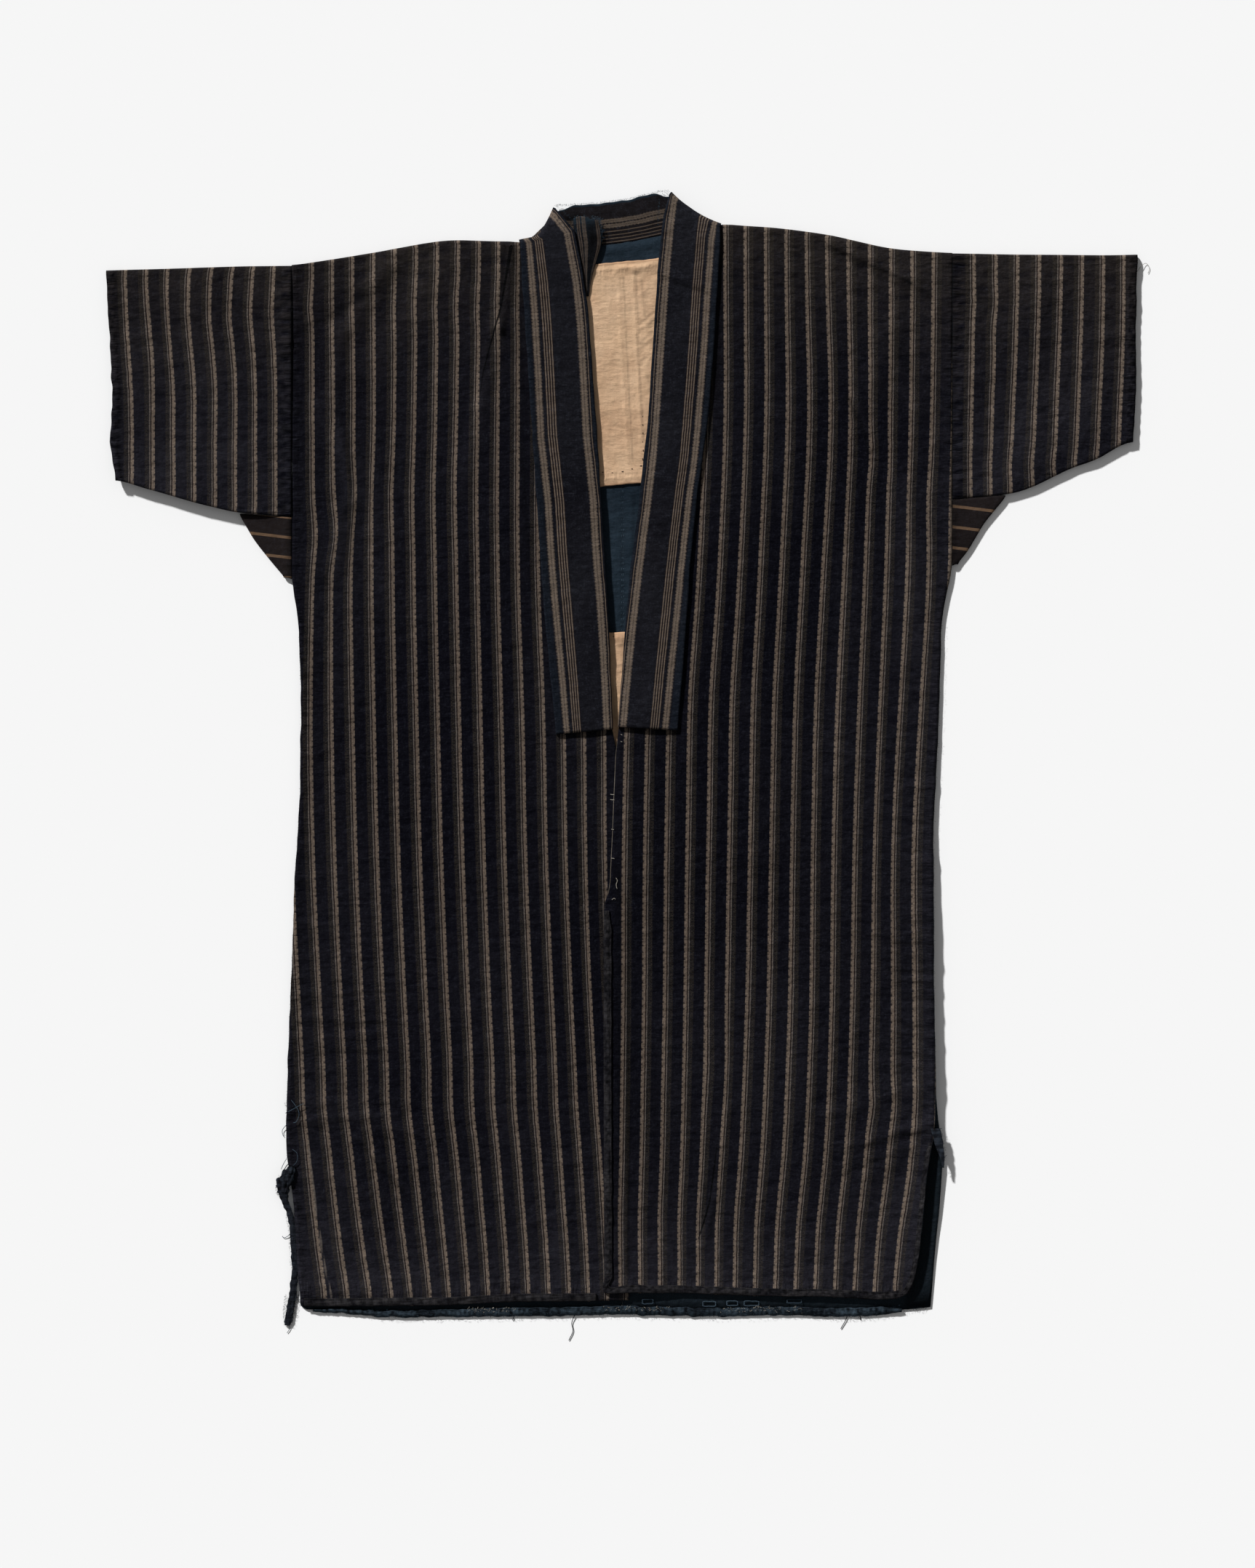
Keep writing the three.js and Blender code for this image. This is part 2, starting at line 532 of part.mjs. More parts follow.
// A narrow band on a panel: route gives its outer line and the way in, heightAt the panel's middle
function band(route, width, heightAt) {
  const slack = 0.15;
  const lift = bodyCloth / 2 + seamGap + slack + thinCloth / 2;
  return clothWall(route.map((stop) => [0, 0.5, 1].map((share) => {
    const x = stop.x + stop.inX * width(stop.x) * share;
    const y = stop.y + stop.inY * width(stop.x) * share;
    return new THREE.Vector3(x, y, heightAt(x, y) + lift);
  })), thinCloth);
}

// The turned edge of the wearer's left front: front edge, hem and side slit in one strip
function leftEdgeBand() {
  const inset = 0.4;
  const route = [];
  const frontStops = [-140, -175, -210, -250, -290, -330, -370, -410, -450, -480];
  for (const y of frontStops) {
    route.push({ x: read(frontEdgeLeft, 'y', y, 'x') + inset, y, inX: 1, inY: 0 });
  }
  const corner = { x: read(frontEdgeLeft, 'y', -496, 'x') + inset, y: -496.4 };
  route.push({ x: corner.x, y: corner.y, inX: 1, inY: 1 });
  for (const x of [5, 20, 35, 55, 85, 120, 155, 190, 220, 245]) {
    route.push({ x, y: read(frontHemLeft, 'x', x, 'y') + inset, inX: 0, inY: 1 });
  }
  route.push({ x: 263.5, y: -499.5, inX: -0.8, inY: 1 });
  for (const y of [-484, -462, -440, -415, -392, -372, -356]) {
    route.push({ x: read(sideEdgeLeft, 'y', y, 'front') - inset, y, inX: -1, inY: 0.1 });
  }
  const width = (x) => (x > 260 ? slitBandWidth : edgeBandWidth);
  return band(route, width, (x, y) => frontHeight(1, x, y));
}

// The turned hem of the wearer's right front, which starts at the slit and runs under the left front
function rightHemBand() {
  const inset = 0.4;
  const route = [-299, -280, -250, -220, -190, -160, -130, -100, -70, -45, -24].map((x) => (
    { x, y: read(frontHemRight, 'x', x, 'y') + inset, inX: 0, inY: 1 }
  ));
  return band(route, () => edgeBandWidth, (x, y) => frontHeight(-1, x, y));
}

// The worn rolled hem of the back, which shows below the front
function backHemBand() {
  const inset = 0.3;
  const route = [-235, -200, -160, -120, -80, -40, 0, 40, 80, 120, 160, 200, 235, 262].map((x) => (
    { x, y: read(backHem, 'x', x, 'y') + inset, inX: 0, inY: 1 }
  ));
  const narrowEnd = { x: -160, width: 5 };
  const width = (x) => mix(narrowEnd.width, backHemWidth, clamp01((x - narrowEnd.x) / 60));
  return band(route, width, () => backZ);
}

// A strip torn off along the right slit, hanging from a knotted end
function slitStrip() {
  const stops = [
    { x: -311.4, y: -382, half: 6, raised: 1 }, { x: -313.5, y: -392, half: 8.5, raised: 1 },
    { x: -315.3, y: -404, half: 7.5, raised: 1 }, { x: -314.8, y: -414, half: 3.2, raised: 0.6 },
    { x: -311.8, y: -424, half: 3.2, raised: 0.2 }, { x: -309.4, y: -438, half: 3.1, raised: 0 },
    { x: -307.8, y: -458, half: 2.6, raised: 0 }, { x: -307, y: -475, half: 2.5, raised: 0 },
    { x: -308.2, y: -491, half: 4, raised: 0 }, { x: -309, y: -502.5, half: 4.4, raised: 0 },
    { x: -310.3, y: -513, half: 4.4, raised: 0 }, { x: -311.4, y: -523, half: 4, raised: 0 },
    { x: -312.1, y: -528.4, half: 3, raised: 0 },
  ];
  const stripCloth = 2;
  return clothWall(stops.map((stop) => {
    const onPanel = frontHeight(-1, -306, stop.y) + bodyCloth / 2 + seamGap + stripCloth / 2;
    const z = mix(stripCloth / 2, onPanel, stop.raised);
    return [-1, -0.33, 0.33, 1].map((share) => (
      new THREE.Vector3(stop.x + stop.half * share, stop.y, z)
    ));
  }), stripCloth);
}

// A torn corner of cloth at the top of the left slit
function slitTab() {
  const stops = [
    { x: 293, y: -345, half: 3.4 }, { x: 294.6, y: -353, half: 3 },
    { x: 296.9, y: -362, half: 2.8 }, { x: 298.7, y: -371, half: 1.8 },
    { x: 299.6, y: -379, half: 0.9 },
  ];
  const lift = bodyCloth / 2 + seamGap + thinCloth / 2 + 0.2;
  return clothWall(stops.map((stop) => [-1, 0, 1].map((share) => {
    const x = stop.x + stop.half * share;
    return new THREE.Vector3(x, stop.y, frontHeight(1, 294, -356) + lift);
  })), thinCloth);
}

const cloths = {
  stripedCotton: new THREE.MeshStandardMaterial({ color: 0x14151c, roughness: 0.95, metalness: 0 }),
  collarCotton: new THREE.MeshStandardMaterial({ color: 0x1c2029, roughness: 0.95, metalness: 0 }),
  indigoLining: new THREE.MeshStandardMaterial({ color: 0x1d3442, roughness: 0.95, metalness: 0 }),
  undyedCotton: new THREE.MeshStandardMaterial({ color: 0xbd9f81, roughness: 0.95, metalness: 0 }),
};

const jacket = new THREE.Group();

function addPiece(name, geometry, cloth) {
  const piece = new THREE.Mesh(geometry, cloths[cloth]);
  piece.name = name;
  jacket.add(piece);
}

addPiece('body_right', bodyHalf(-1), 'stripedCotton');
addPiece('body_left', bodyHalf(1), 'stripedCotton');
addPiece('sleeve_right', sleeve(-1), 'stripedCotton');
addPiece('sleeve_left', sleeve(1), 'stripedCotton');
addPiece('gusset_right', gusset(-1), 'stripedCotton');
addPiece('gusset_left', gusset(1), 'stripedCotton');
addPiece('collar', collar(), 'collarCotton');
addPiece('collar_flap', collarFlap(), 'collarCotton');
addPiece('back_lining', flatPiece(backLiningPiece, liningZ, 4, 8), 'indigoLining');
addPiece('yoke_patch', flatPiece(yokePatchPiece, patchZ, 6, 6), 'undyedCotton');
addPiece('waist_patch', flatPiece(waistPatchPiece, patchZ, 4, 5), 'undyedCotton');
addPiece('edge_band_left', leftEdgeBand(), 'stripedCotton');
addPiece('hem_band_right', rightHemBand(), 'stripedCotton');
addPiece('hem_band_back', backHemBand(), 'indigoLining');
addPiece('slit_strip', slitStrip(), 'stripedCotton');
addPiece('slit_tab', slitTab(), 'stripedCotton');

// The tables above count from the crossing of the centre seam with the middle of the photographed
// jacket. The origin goes under the middle of what is built.
const box = new THREE.Box3().setFromObject(jacket);
const middle = box.getCenter(new THREE.Vector3());
for (const piece of jacket.children) piece.geometry.translate(-middle.x, -middle.y, -box.min.z);

export default jacket;
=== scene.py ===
import math

import bpy
import numpy as np
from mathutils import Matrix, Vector


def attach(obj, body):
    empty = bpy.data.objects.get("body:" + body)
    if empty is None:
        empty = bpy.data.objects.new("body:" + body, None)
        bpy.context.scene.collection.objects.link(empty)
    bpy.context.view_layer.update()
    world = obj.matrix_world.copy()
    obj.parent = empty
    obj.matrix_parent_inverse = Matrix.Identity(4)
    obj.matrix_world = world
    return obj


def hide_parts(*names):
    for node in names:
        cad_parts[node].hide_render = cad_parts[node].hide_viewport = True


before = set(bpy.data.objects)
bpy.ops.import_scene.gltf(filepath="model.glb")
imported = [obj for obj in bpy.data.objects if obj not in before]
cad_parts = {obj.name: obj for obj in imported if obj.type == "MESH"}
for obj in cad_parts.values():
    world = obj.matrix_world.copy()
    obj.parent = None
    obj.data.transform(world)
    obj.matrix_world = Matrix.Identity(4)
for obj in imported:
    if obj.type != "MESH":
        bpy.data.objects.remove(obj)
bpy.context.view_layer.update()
print("frame loaded")

general = {
    "middle": (-0.4, 2.38),     # mm, the middle of the whole jacket in the tables' coordinates
    "bodyCloth": 1.6,
    "thinCloth": 1.0,
    "collarCloth": 2.6,
    "gap": 0.3,
    "pitch": 19.7,              # mm from one stripe group to the next
    "armhole": 308.7,
    "neckPoint": 77,
    "centreGap": 0.15,          # mm from the centre line to the edge of each half of the body
    "loft": 0.7,                # mm that the fronts lie looser than the plain solid
    "lowestFibre": 0.00006,     # m, the lowest that stitches and fibres lie over the floor
}
backZ = general["bodyCloth"] / 2
liningZ = general["bodyCloth"] + general["gap"] + general["thinCloth"] / 2
patchZ = liningZ + general["thinCloth"] + general["gap"]
frontZ = general["bodyCloth"] * 1.5 + general["gap"]
collarBackZ = general["collarCloth"] / 2


# Stage, light and camera

scene = bpy.context.scene
scene.view_settings.view_transform = "Standard"
stageSettings = {
    "floorTone": 0.93,
    "floorHalf": 4.0,
    "floorZ": -0.0003,
    "worldStrength": 0.205,
    "sunStrength": 4.94,
    "sunFrom": (-0.507, 0.702, 0.5),
    "sunAt": (-2, 1.2, 2),
    "sunAngle": 0.07,
    "cameraAt": (0.0055, -0.0242, 3.466),
    "lens": 85,
}


def addObject(name, data):
    made = bpy.data.objects.new(name, data)
    scene.collection.objects.link(made)
    return made


def buildStage(settings):
    half, z = settings["floorHalf"], settings["floorZ"]
    mesh = bpy.data.meshes.new("floor")
    corners = [(-half, -half, z), (half, -half, z), (half, half, z), (-half, half, z)]
    mesh.from_pydata(corners, [], [(0, 1, 2, 3)])
    floor = addObject("floor", mesh)
    material = bpy.data.materials.new("paleFloor")
    material.use_nodes = True
    shader = material.node_tree.nodes["Principled BSDF"]
    tone = settings["floorTone"]
    shader.inputs["Base Color"].default_value = (tone, tone, tone, 1)
    shader.inputs["Roughness"].default_value = 1.0
    shader.inputs["Specular IOR Level"].default_value = 0.0
    mesh.materials.append(material)

    world = bpy.data.worlds.new("studio")
    world.use_nodes = True
    background = world.node_tree.nodes["Background"]
    background.inputs["Color"].default_value = (1, 1, 1, 1)
    background.inputs["Strength"].default_value = settings["worldStrength"]
    scene.world = world

    sunData = bpy.data.lights.new("softKey", "SUN")
    sunData.energy = settings["sunStrength"]
    sunData.angle = settings["sunAngle"]
    sun = addObject("softKey", sunData)
    sun.rotation_euler = Vector(settings["sunFrom"]).to_track_quat("Z", "Y").to_euler()
    sun.location = settings["sunAt"]

    cameraData = bpy.data.cameras.new("camera")
    cameraData.lens = settings["lens"]
    camera = addObject("camera", cameraData)
    camera.location = settings["cameraAt"]
    scene.camera = camera
    return floor


floor = buildStage(stageSettings)
print("stage ready")


# Tables of the cut as it lies

topEdge = {
    "x": [-308.7, -268, -214, -187, -160, -132, -105, -92, -60, -22, 10, 35, 60, 91, 112, 139,
          166, 194, 221, 248, 275, 308.7],
    "y": [462.4, 468.5, 477.4, 483, 486.4, 485.3, 484.6, 483.9, 481.5, 480.5, 484.5, 489.9, 495,
          501.5, 499.5, 498, 495, 491, 484.8, 478.5, 476, 474],
}
rightEdge = [-299.5, -301, -303.6, -305.7, -307.4, -312.8, -314.2, -313.2, -310.8, -308, -306,
             -301.2, -299.9, -302.6, -305.5, -308.7, -308.7]
sideEdge = {
    -1: {
        "y": [-525, -500, -475, -431, -404, -377, -350, -309, -241, -173, -111, -37, 58, 133, 150,
              167, 520],
        "front": rightEdge,
        "back": rightEdge,
    },
    1: {
        "y": [-525, -499, -472, -431, -404, -377, -350, -332, -275, -193, -111, -71, -30, 52, 133,
              164, 180, 520],
        "front": [262, 269, 276, 280.8, 283, 286, 291, 292.4, 292.2, 291, 291.4, 290.8, 292.4,
                  296.5, 298.5, 304.6, 308.7, 308.7],
        "back": [287, 290, 291.5, 295.8, 298.5, 299.9, 298, 293.5, 292.2, 291, 291.4, 290.8, 292.4,
                 296.5, 298.5, 304.6, 308.7, 308.7],
    },
}
frontEdge = {
    -1: {"y": [-525, -300, -124, -60, 0, 31, 400, 484, 520],
         "x": [7, 5.5, 5, 2, -3, -9.5, -68, -77, -77]},
    1: {"y": [-525, -300, -136, -120, -60, 7, 31, 400, 500, 520],
        "x": [-16.5, -17.3, -17.3, -11.6, -9, -6, -3, 66, 77, 77]},
}
frontHem = {
    -1: {"x": [-320, -303, -296, -240, -160, -100, -30, 10],
         "y": [-498, -506, -510.5, -510, -509, -506, -505.5, -504]},
    1: {"x": [-20, 60, 140, 200, 240, 258, 275],
        "y": [-497, -498, -501, -501.5, -504, -503, -494]},
}
backHem = {
    "x": [-305, -300, -296, -268, -241, -214, -160, -50, 0, 85, 140, 194, 221, 248, 275, 292],
    "y": [-504, -510, -513, -514.8, -517, -519.5, -518.5, -517.5, -516.5, -518.2, -517, -518,
          -519.5, -515.4, -512.7, -510.5],
}
sleeveCut = {
    -1: {"x": [-481, -472, -437, -398, -361, -309],
         "top": [457.6, 458.2, 459, 460.3, 461.6, 462.2],
         "bottom": [262.5, 261.6, 253, 241.4, 232.6, 228.5]},
    1: {"x": [309, 361.8, 381, 420, 442, 471, 481.5],
        "top": [473.8, 472.8, 472.6, 472.4, 472, 472.2, 472.8],
        "bottom": [245, 249.8, 255.2, 274.5, 281.5, 297.2, 299]},
}
cuffEdge = {
    -1: {"y": [262, 298, 340, 400, 457.6], "x": [-472.6, -478.6, -476, -479, -482.4]},
    1: {"y": [299, 340, 420, 472.8], "x": [478, 480, 480.6, 481.6]},
}
gussetEdge = {
    -1: {"y": [171.5, 190.4, 206.7, 230.9], "x": [-314.5, -330.5, -343.4, -357.5]},
    1: {"y": [184, 196.6, 222.6, 248.1], "x": [312.5, 322.8, 338, 359]},
}

# How far the side edges of the wearer's left half stand up from the floor
sideLift = {
    "y": [-506, -480, -458, -411, -384, -336, -292, -214, -152, -103, -57, 31, 108],
    "front": [2.5, 4.6, 5.6, 6.2, 6.4, 6.4, 6.8, 6.4, 6.0, 3.1, 0.8, 0.2, 0],
    "back": [0, 0.2, 0.5, 2, 3.2, 5, 6.4, 6.2, 5.8, 3.0, 0.7, 0.1, 0],
}

# Where the wide stripes run. number lists the groups whose place is given, and each row of x is
# the place of one of them at the heights in y. The groups between them are spaced evenly. Each
# nudge is a place, its reach and a push sideways, in mm.
frontStripes = {
    -1: {
        "y": [-496, -363, -227, -91, 45, 181, 317, 453],
        "number": [0, 3, 6, 9, 12, 15],
        "x": [[-279, -294, -302, -309, -311, -306, -308, -308],
              [-216, -234, -243, -249, -252, -254, -250, -252],
              [-161, -175, -183, -189, -192, -195, -194, -192],
              [-105, -116, -124, -129, -132, -135, -135, -133],
              [-48, -58, -65, -71, -73, -79, -78, -79],
              [5, -2, -12, -16, -16, -20, -20, -22]],
        "nudges": [(-252, 250, 13, 28, 3.4), (-268, 212, 13, 27, 4.2), (-287, 208, 11, 30, 2.2),
                   (-222, 250, 26, 36, -1.4), (-165, 250, 40, 46, -1.2), (-250, -505, 80, 34, 3.4),
                   (-190, -325, 150, 30, -1.9), (-160, 425, 60, 20, -1.4), (-300, 425, 20, 16, -1.8)],
    },
    1: {
        "y": [-489, -363, -227, -91, 45, 181, 317, 453],
        "number": [0, 3, 6, 9, 12, 15],
        "x": [[-2, -1, 1, 1, 4, 12, 21, 17],
              [53, 56, 59, 60.5, 63, 72, 78, 77],
              [104, 111, 117, 119, 122, 128.5, 135, 134],
              [160.5, 172, 177, 178, 181, 188, 196, 191],
              [215.5, 229, 234, 236, 241, 247, 250, 251],
              [271, 294, 294, 293, 298, 307, 309, 311]],
        "nudges": [(262, -90, 22, 130, -3.0), (90, -290, 13, 44, 2.3), (244, -322, 22, 22, 2.5),
                   (120, -425, 170, 40, -1.4), (285, 240, 20, 42, -2.2), (237, 284, 15, 22, 1.8),
                   (90, 60, 70, 60, -1.2), (190, 40, 20, 200, -0.6)],
    },
}
sleeveStripes = {
    -1: {"y": [276, 358, 439], "number": [0, 2, 4, 7],
         "x": [[-457, -459, -465], [-418, -421.5, -426], [-379.5, -382, -385], [-323.5, -324.5, -326]],
         "nudges": [(-390, 345, 62, 38, 2.0), (-358, 414, 56, 22, -2.1), (-385, 466, 66, 12, 2.6),
                    (-437, 388, 12, 44, 2.2)]},
    1: {"y": [290, 344, 398, 453], "number": [0, 2, 4, 6, 7],
        "x": [[326, 326.5, 329, 329], [363, 367, 368.5, 370], [404.6, 407, 409, 411],
              [443.5, 447.5, 449.5, 450], [463, 467, 469, 469]],
         "nudges": [(345, 430, 20, 12, 1.0), (400, 278, 60, 14, -1.4), (345, 400, 14, 14, -0.9)]},
}

# Soft folds and creases of the front: ends, half width and height in mm. Below zero is a trough.
bodyFolds = np.array([
    (-106, 484, -116, 405, 6, 2.8), (-116, 405, -132, 330, 7, 2.2), (-132, 330, -150, 250, 9, 1.2),
    (-108, 481, -113, 424, 2.6, -2.4), (-114, 426, -126, 366, 2.2, -1.2), (-126, 366, -130, 340, 2, -0.6),
    (-212, 474, -262, 398, 12, 2.2), (-175, 455, -232, 372, 15, 1.6), (-246, 434, -278, 414, 6, -1.5),
    (-262, 400, -272, 330, 9, 1.1), (-284, 330, -240, 262, 12, 1.4), (-246, 352, -226, 300, 8, -0.6),
    (-262, 300, -252, 244, 7, 1.8), (-252, 244, -272, 172, 6, 1.8), (-262, 210, -256, 60, 16, 1.1),
    (-288, 190, -284, 120, 8, 0.9), (-190, 150, -196, 20, 12, 0.8), (-232, 240, -222, 150, 12, 0.9),
    (268, 452, 236, 356, 14, 1.4), (292, 420, 280, 330, 8, 1.0), (262, 260, 274, 108, 14, 1.4),
    (196, 486, 262, 448, 7, 1.7), (262, 448, 284, 436, 5, 1.0), (190, 478, 256, 443, 2.4, -1.2),
    (218, 340, 232, 296, 5, 1.2), (210, 338, 226, 292, 3, -0.7), (258, 360, 276, 320, 6, 1.0),
    (212, 180, 206, 10, 18, 1.1), (150, 330, 160, 230, 12, 0.9), (120, 60, 128, -90, 12, 0.8),
    (-290, -315, -180, -352, 9, 1.1), (-300, -338, -210, -330, 4, 1.0), (-296, -372, -238, -402, 6, 0.8),
    (-300, -321, -200, -316, 3, 0.7), (-232, -366, -190, -414, 4, 0.8), (-248, -352, -206, -396, 3.5, 0.7),
    (-216, -340, -170, -384, 4, 0.7), (-282, -420, -262, -470, 5, 0.7), (-190, -440, -150, -446, 4, 0.5),
    (190, -330, 290, -300, 7, 1.2), (205, -362, 292, -338, 5, 1.1), (222, -392, 268, -362, 5, 0.9),
    (236, -346, 262, -330, 4, 0.8), (88, -402, 76, -452, 5, 1.8), (96, -392, 82, -446, 4, -1.2),
    (98, -330, 90, -380, 5, 0.9), (-160, -390, -152, -462, 14, 1.3), (-60, -430, -54, -480, 9, 1.0),
    (-294, -225, -216, -219, 4, 0.8), (-300, -262, -200, -250, 4, 0.7), (-304, -291, -222, -286, 4, 0.6),
    (-306, -238, -262, -240, 3, 0.6), (-302, -110, -262, -104, 5, 0.6), (-300, -150, -270, -154, 4, 0.6),
    (246, -177, 292, -182, 4, 0.9), (246, -202, 292, -206, 4, 0.9), (258, -226, 292, -230, 4, 0.8),
    (258, -252, 292, -256, 4, 0.8), (244, -280, 292, -286, 5, 0.7), (232, -160, 284, -164, 4, 0.7),
    (258, -30, 290, -22, 5, 0.7), (262, -96, 290, -92, 4, 0.6), (20, -455, 60, -462, 6, 0.7),
    (150, -452, 190, -459, 6, 0.8), (-120, -300, -96, -360, 9, 0.8), (40, -250, 52, -330, 10, 0.7),
    (170, -230, 160, -330, 12, 0.9), (190, -480, 210, -470, 5, 0.6), (-210, -486, -170, -478, 6, 0.6),
])
# Painted shade where folds, the overlap of the fronts and the collar's edges lie in shadow: ends and half
# width in mm, then how dark, from 0 to 1
bodyPaintedShades = np.array([
    (-106, 484, -114, 420, 5, 0.3), (-114, 420, -130, 362, 4, 0.3),
    (-210, 458, -240, 432, 5, 0.45), (-240, 436, -272, 416, 4.5, 0.7), (-262, 424, -296, 404, 6, 0.35),
    (-258, 306, -253, 248, 3, 0.45), (-254, 250, -264, 208, 3.2, 0.6), (-262, 212, -278, 168, 3.5, 0.5),
    (190, 482, 230, 464, 1.5, 0.5), (230, 464, 270, 446, 1.8, 0.75), (266, 448, 288, 434, 3, 0.45),
    (210, 342, 226, 308, 2.4, 0.55), (226, 308, 231, 288, 1.8, 0.4), (258, 392, 276, 352, 5, 0.25),
    (86, -366, 80, -412, 4, 0.25), (80, -410, 71, -444, 4, 0.3),
    (291, -346, 258, -350, 1.3, 0.5), (258, -350, 226, -360, 1.3, 0.4), (268, -362, 232, -376, 1.5, 0.4),
    (232, -376, 200, -388, 1.5, 0.25), (262, -376, 244, -390, 1.5, 0.35), (236, -398, 250, -392, 1.3, 0.3),
    (250, -171, 291, -171, 1.3, 0.5), (250, -197, 291, -197, 1.3, 0.5), (262, -221, 291, -221, 1.3, 0.4),
    (262, -248, 291, -249, 1.3, 0.4), (250, -274, 291, -276, 1.3, 0.3), (262, -150, 290, -150, 1.2, 0.3),
    (-300, -224, -214, -215, 1.5, 0.4), (-304, -245, -200, -246, 1.5, 0.35),
    (-308, -274, -220, -270, 1.5, 0.25), (-300, -340, -262, -335, 1.6, 0.35),
    (-226, -372, -200, -410, 1.8, 0.3), (-246, -356, -212, -396, 1.6, 0.3),
    (-100, 480, -92, 330, 3, 0.35), (-96, 330, -84, 150, 2.4, 0.3), (93, 470, 88, 340, 2.4, 0.4),
    (-3, -100, -4, -490, 2.6, 0.35), (5, -130, 5.5, -480, 1.4, 0.45),
])
sleeveFolds = np.array([
    (-312, 392, -460, 398, 5, 0.9), (-318, 372, -452, 378, 4, 0.7), (-320, 352, -440, 352, 5, 0.6),
    (-326, 430, -420, 436, 5, 0.6), (318, 404, 380, 410, 4, 0.7), (330, 436, 470, 430, 5, 0.6),
    (360, 398, 460, 392, 5, 0.5),
    (-345, 452, -330, 300, 12, 1.5), (-405, 440, -392, 262, 14, 1.2), (-455, 420, -448, 290, 12, 0.9),
    (-470, 380, -430, 366, 6, 0.7), (-466, 330, -424, 322, 6, 0.6), (-376, 300, -350, 250, 8, 0.9),
    (-420, 330, -404, 270, 7, 0.7), (-432, 446, -400, 420, 8, 0.7),
    (338, 462, 330, 300, 11, 1.3), (392, 440, 380, 276, 13, 1.2), (448, 440, 440, 300, 13, 1.0),
    (320, 330, 352, 316, 6, 0.8), (316, 300, 346, 282, 6, 0.8), (468, 400, 436, 392, 6, 0.6),
    (410, 350, 430, 300, 7, 0.8), (360, 455, 392, 430, 8, 0.7),
])


def smooth(value):
    value = np.clip(value, 0, 1)
    return value * value * (3 - 2 * value)


def mix(a, b, share):
    return a + (b - a) * share


def read(table, atName, at, name):
    return np.interp(at, table[atName], table[name])


def readSoft(table, atName, at, name, reach):
    steps = (-reach, -reach / 2, 0, reach / 2, reach)
    parts = [read(table, atName, at + step, name) for step in steps]
    return sum(parts) / len(parts)


# 1 on the line of a stroke, and less with the distance from it
def nearStroke(x1, y1, x2, y2, halfWidth, x, y):
    dx, dy = x2 - x1, y2 - y1
    share = np.clip(((x - x1) * dx + (y - y1) * dy) / (dx * dx + dy * dy), 0, 1)
    away = np.hypot(x - x1 - share * dx, y - y1 - share * dy)
    return np.exp(-((away / halfWidth) ** 2))


# The strongest of a few soft strokes at each point
def shadeAt(strokes, x, y):
    shade = np.zeros(np.shape(x))
    for *stroke, dark in strokes:
        shade = np.maximum(shade, dark * nearStroke(*stroke, x, y))
    return shade


def foldHeight(folds, x, y):
    height = np.zeros(np.shape(x))
    for *stroke, high in folds:
        height += high * nearStroke(*stroke, x, y)
    return height


# Thin strokes are made wider and a little darker, as the points of the cloth lie further apart
def widened(strokes, least=1.9, darker=0.2):
    thin = strokes[:, 4] < least
    strokes[:, 5] = np.where(thin, np.minimum(strokes[:, 5] + darker, 1), strokes[:, 5])
    strokes[:, 4] = np.maximum(strokes[:, 4], least)
    return strokes


frontPaintedShades = widened(bodyPaintedShades.copy())


# Soft, uneven undulation between -1 and 1, from a few plane waves of chosen length
def wander(seed, x, y, shortest, longest, waves=9):
    rng = np.random.default_rng(seed)
    total = np.zeros(np.broadcast(x, y).shape)
    for _ in range(waves):
        length = rng.uniform(shortest, longest)
        turn = rng.uniform(0, 2 * math.pi)
        phase = rng.uniform(0, 2 * math.pi)
        total += np.sin(2 * math.pi * (x * math.cos(turn) + y * math.sin(turn)) / length + phase)
    return total / waves ** 0.5 / 1.6


# Heights and reaches in mm of the forms that make up the fronts
frontForms = {
    "puff": 1.4, "puffReach": 16,       # fuller cloth below the shoulder fold
    "lap": 2.0,                         # the left front where it lies on the right one
    "ripple": 0.25,
    "patches": 2.6, "patchReach": 80,   # the patches that lie under the fronts
    "creases": 1.35, "deepest": -0.55,
    "coarse": 0.3, "fine": 0.14,
    "edgeReach": 15,                    # how far in from the side edge the cloth stands up
}


def frontHeight(side, x, y):
    forms = frontForms
    top = read(topEdge, "x", x, "y")
    puff = forms["puff"] * np.exp(-np.maximum(0, top - y) / forms["puffReach"])
    nearNeck = smooth((160 - np.abs(x)) / 60) * smooth(y / 60)
    lap = forms["lap"] * smooth((58 - x) / 40) * smooth((84 - y) / 36) if side > 0 else 0
    ripple = forms["ripple"] * (1 + np.sin(x / 31 + y / 47)) * (1 - nearNeck)
    outX = np.maximum(np.maximum(-108 - x, x - 112), 0)
    outY = np.maximum(np.maximum(-82 - y, y - 495), 0)
    patches = forms["patches"] * smooth(1 - np.hypot(outX, outY) / forms["patchReach"])
    creases = np.maximum(forms["creases"] * foldHeight(bodyFolds, x, y), forms["deepest"])
    fine = forms["coarse"] * wander(3 + side, x, y, 28, 75)
    fine = (fine + forms["fine"] * wander(33 + side, x, y, 12, 26)) * (1 - 0.7 * nearNeck)
    fromEdge = np.abs(read(sideEdge[side], "y", y, "front") - x)
    lifted = read(sideLift, "y", y, "front") if side > 0 else 0.8 * smooth((200 - y) / 120)
    loft = general["loft"] * (1 - np.exp(-fromEdge / 7))
    return (frontZ + loft + patches + lap + puff * (1 - 0.6 * nearNeck) + ripple
            + creases + fine * (1 - 0.7 * np.exp(-fromEdge / 5))
            + lifted * np.exp(-fromEdge / forms["edgeReach"]))


sleeveForms = {"lift": 0.7, "ripple": 0.25, "coarse": 0.34, "fine": 0.16}


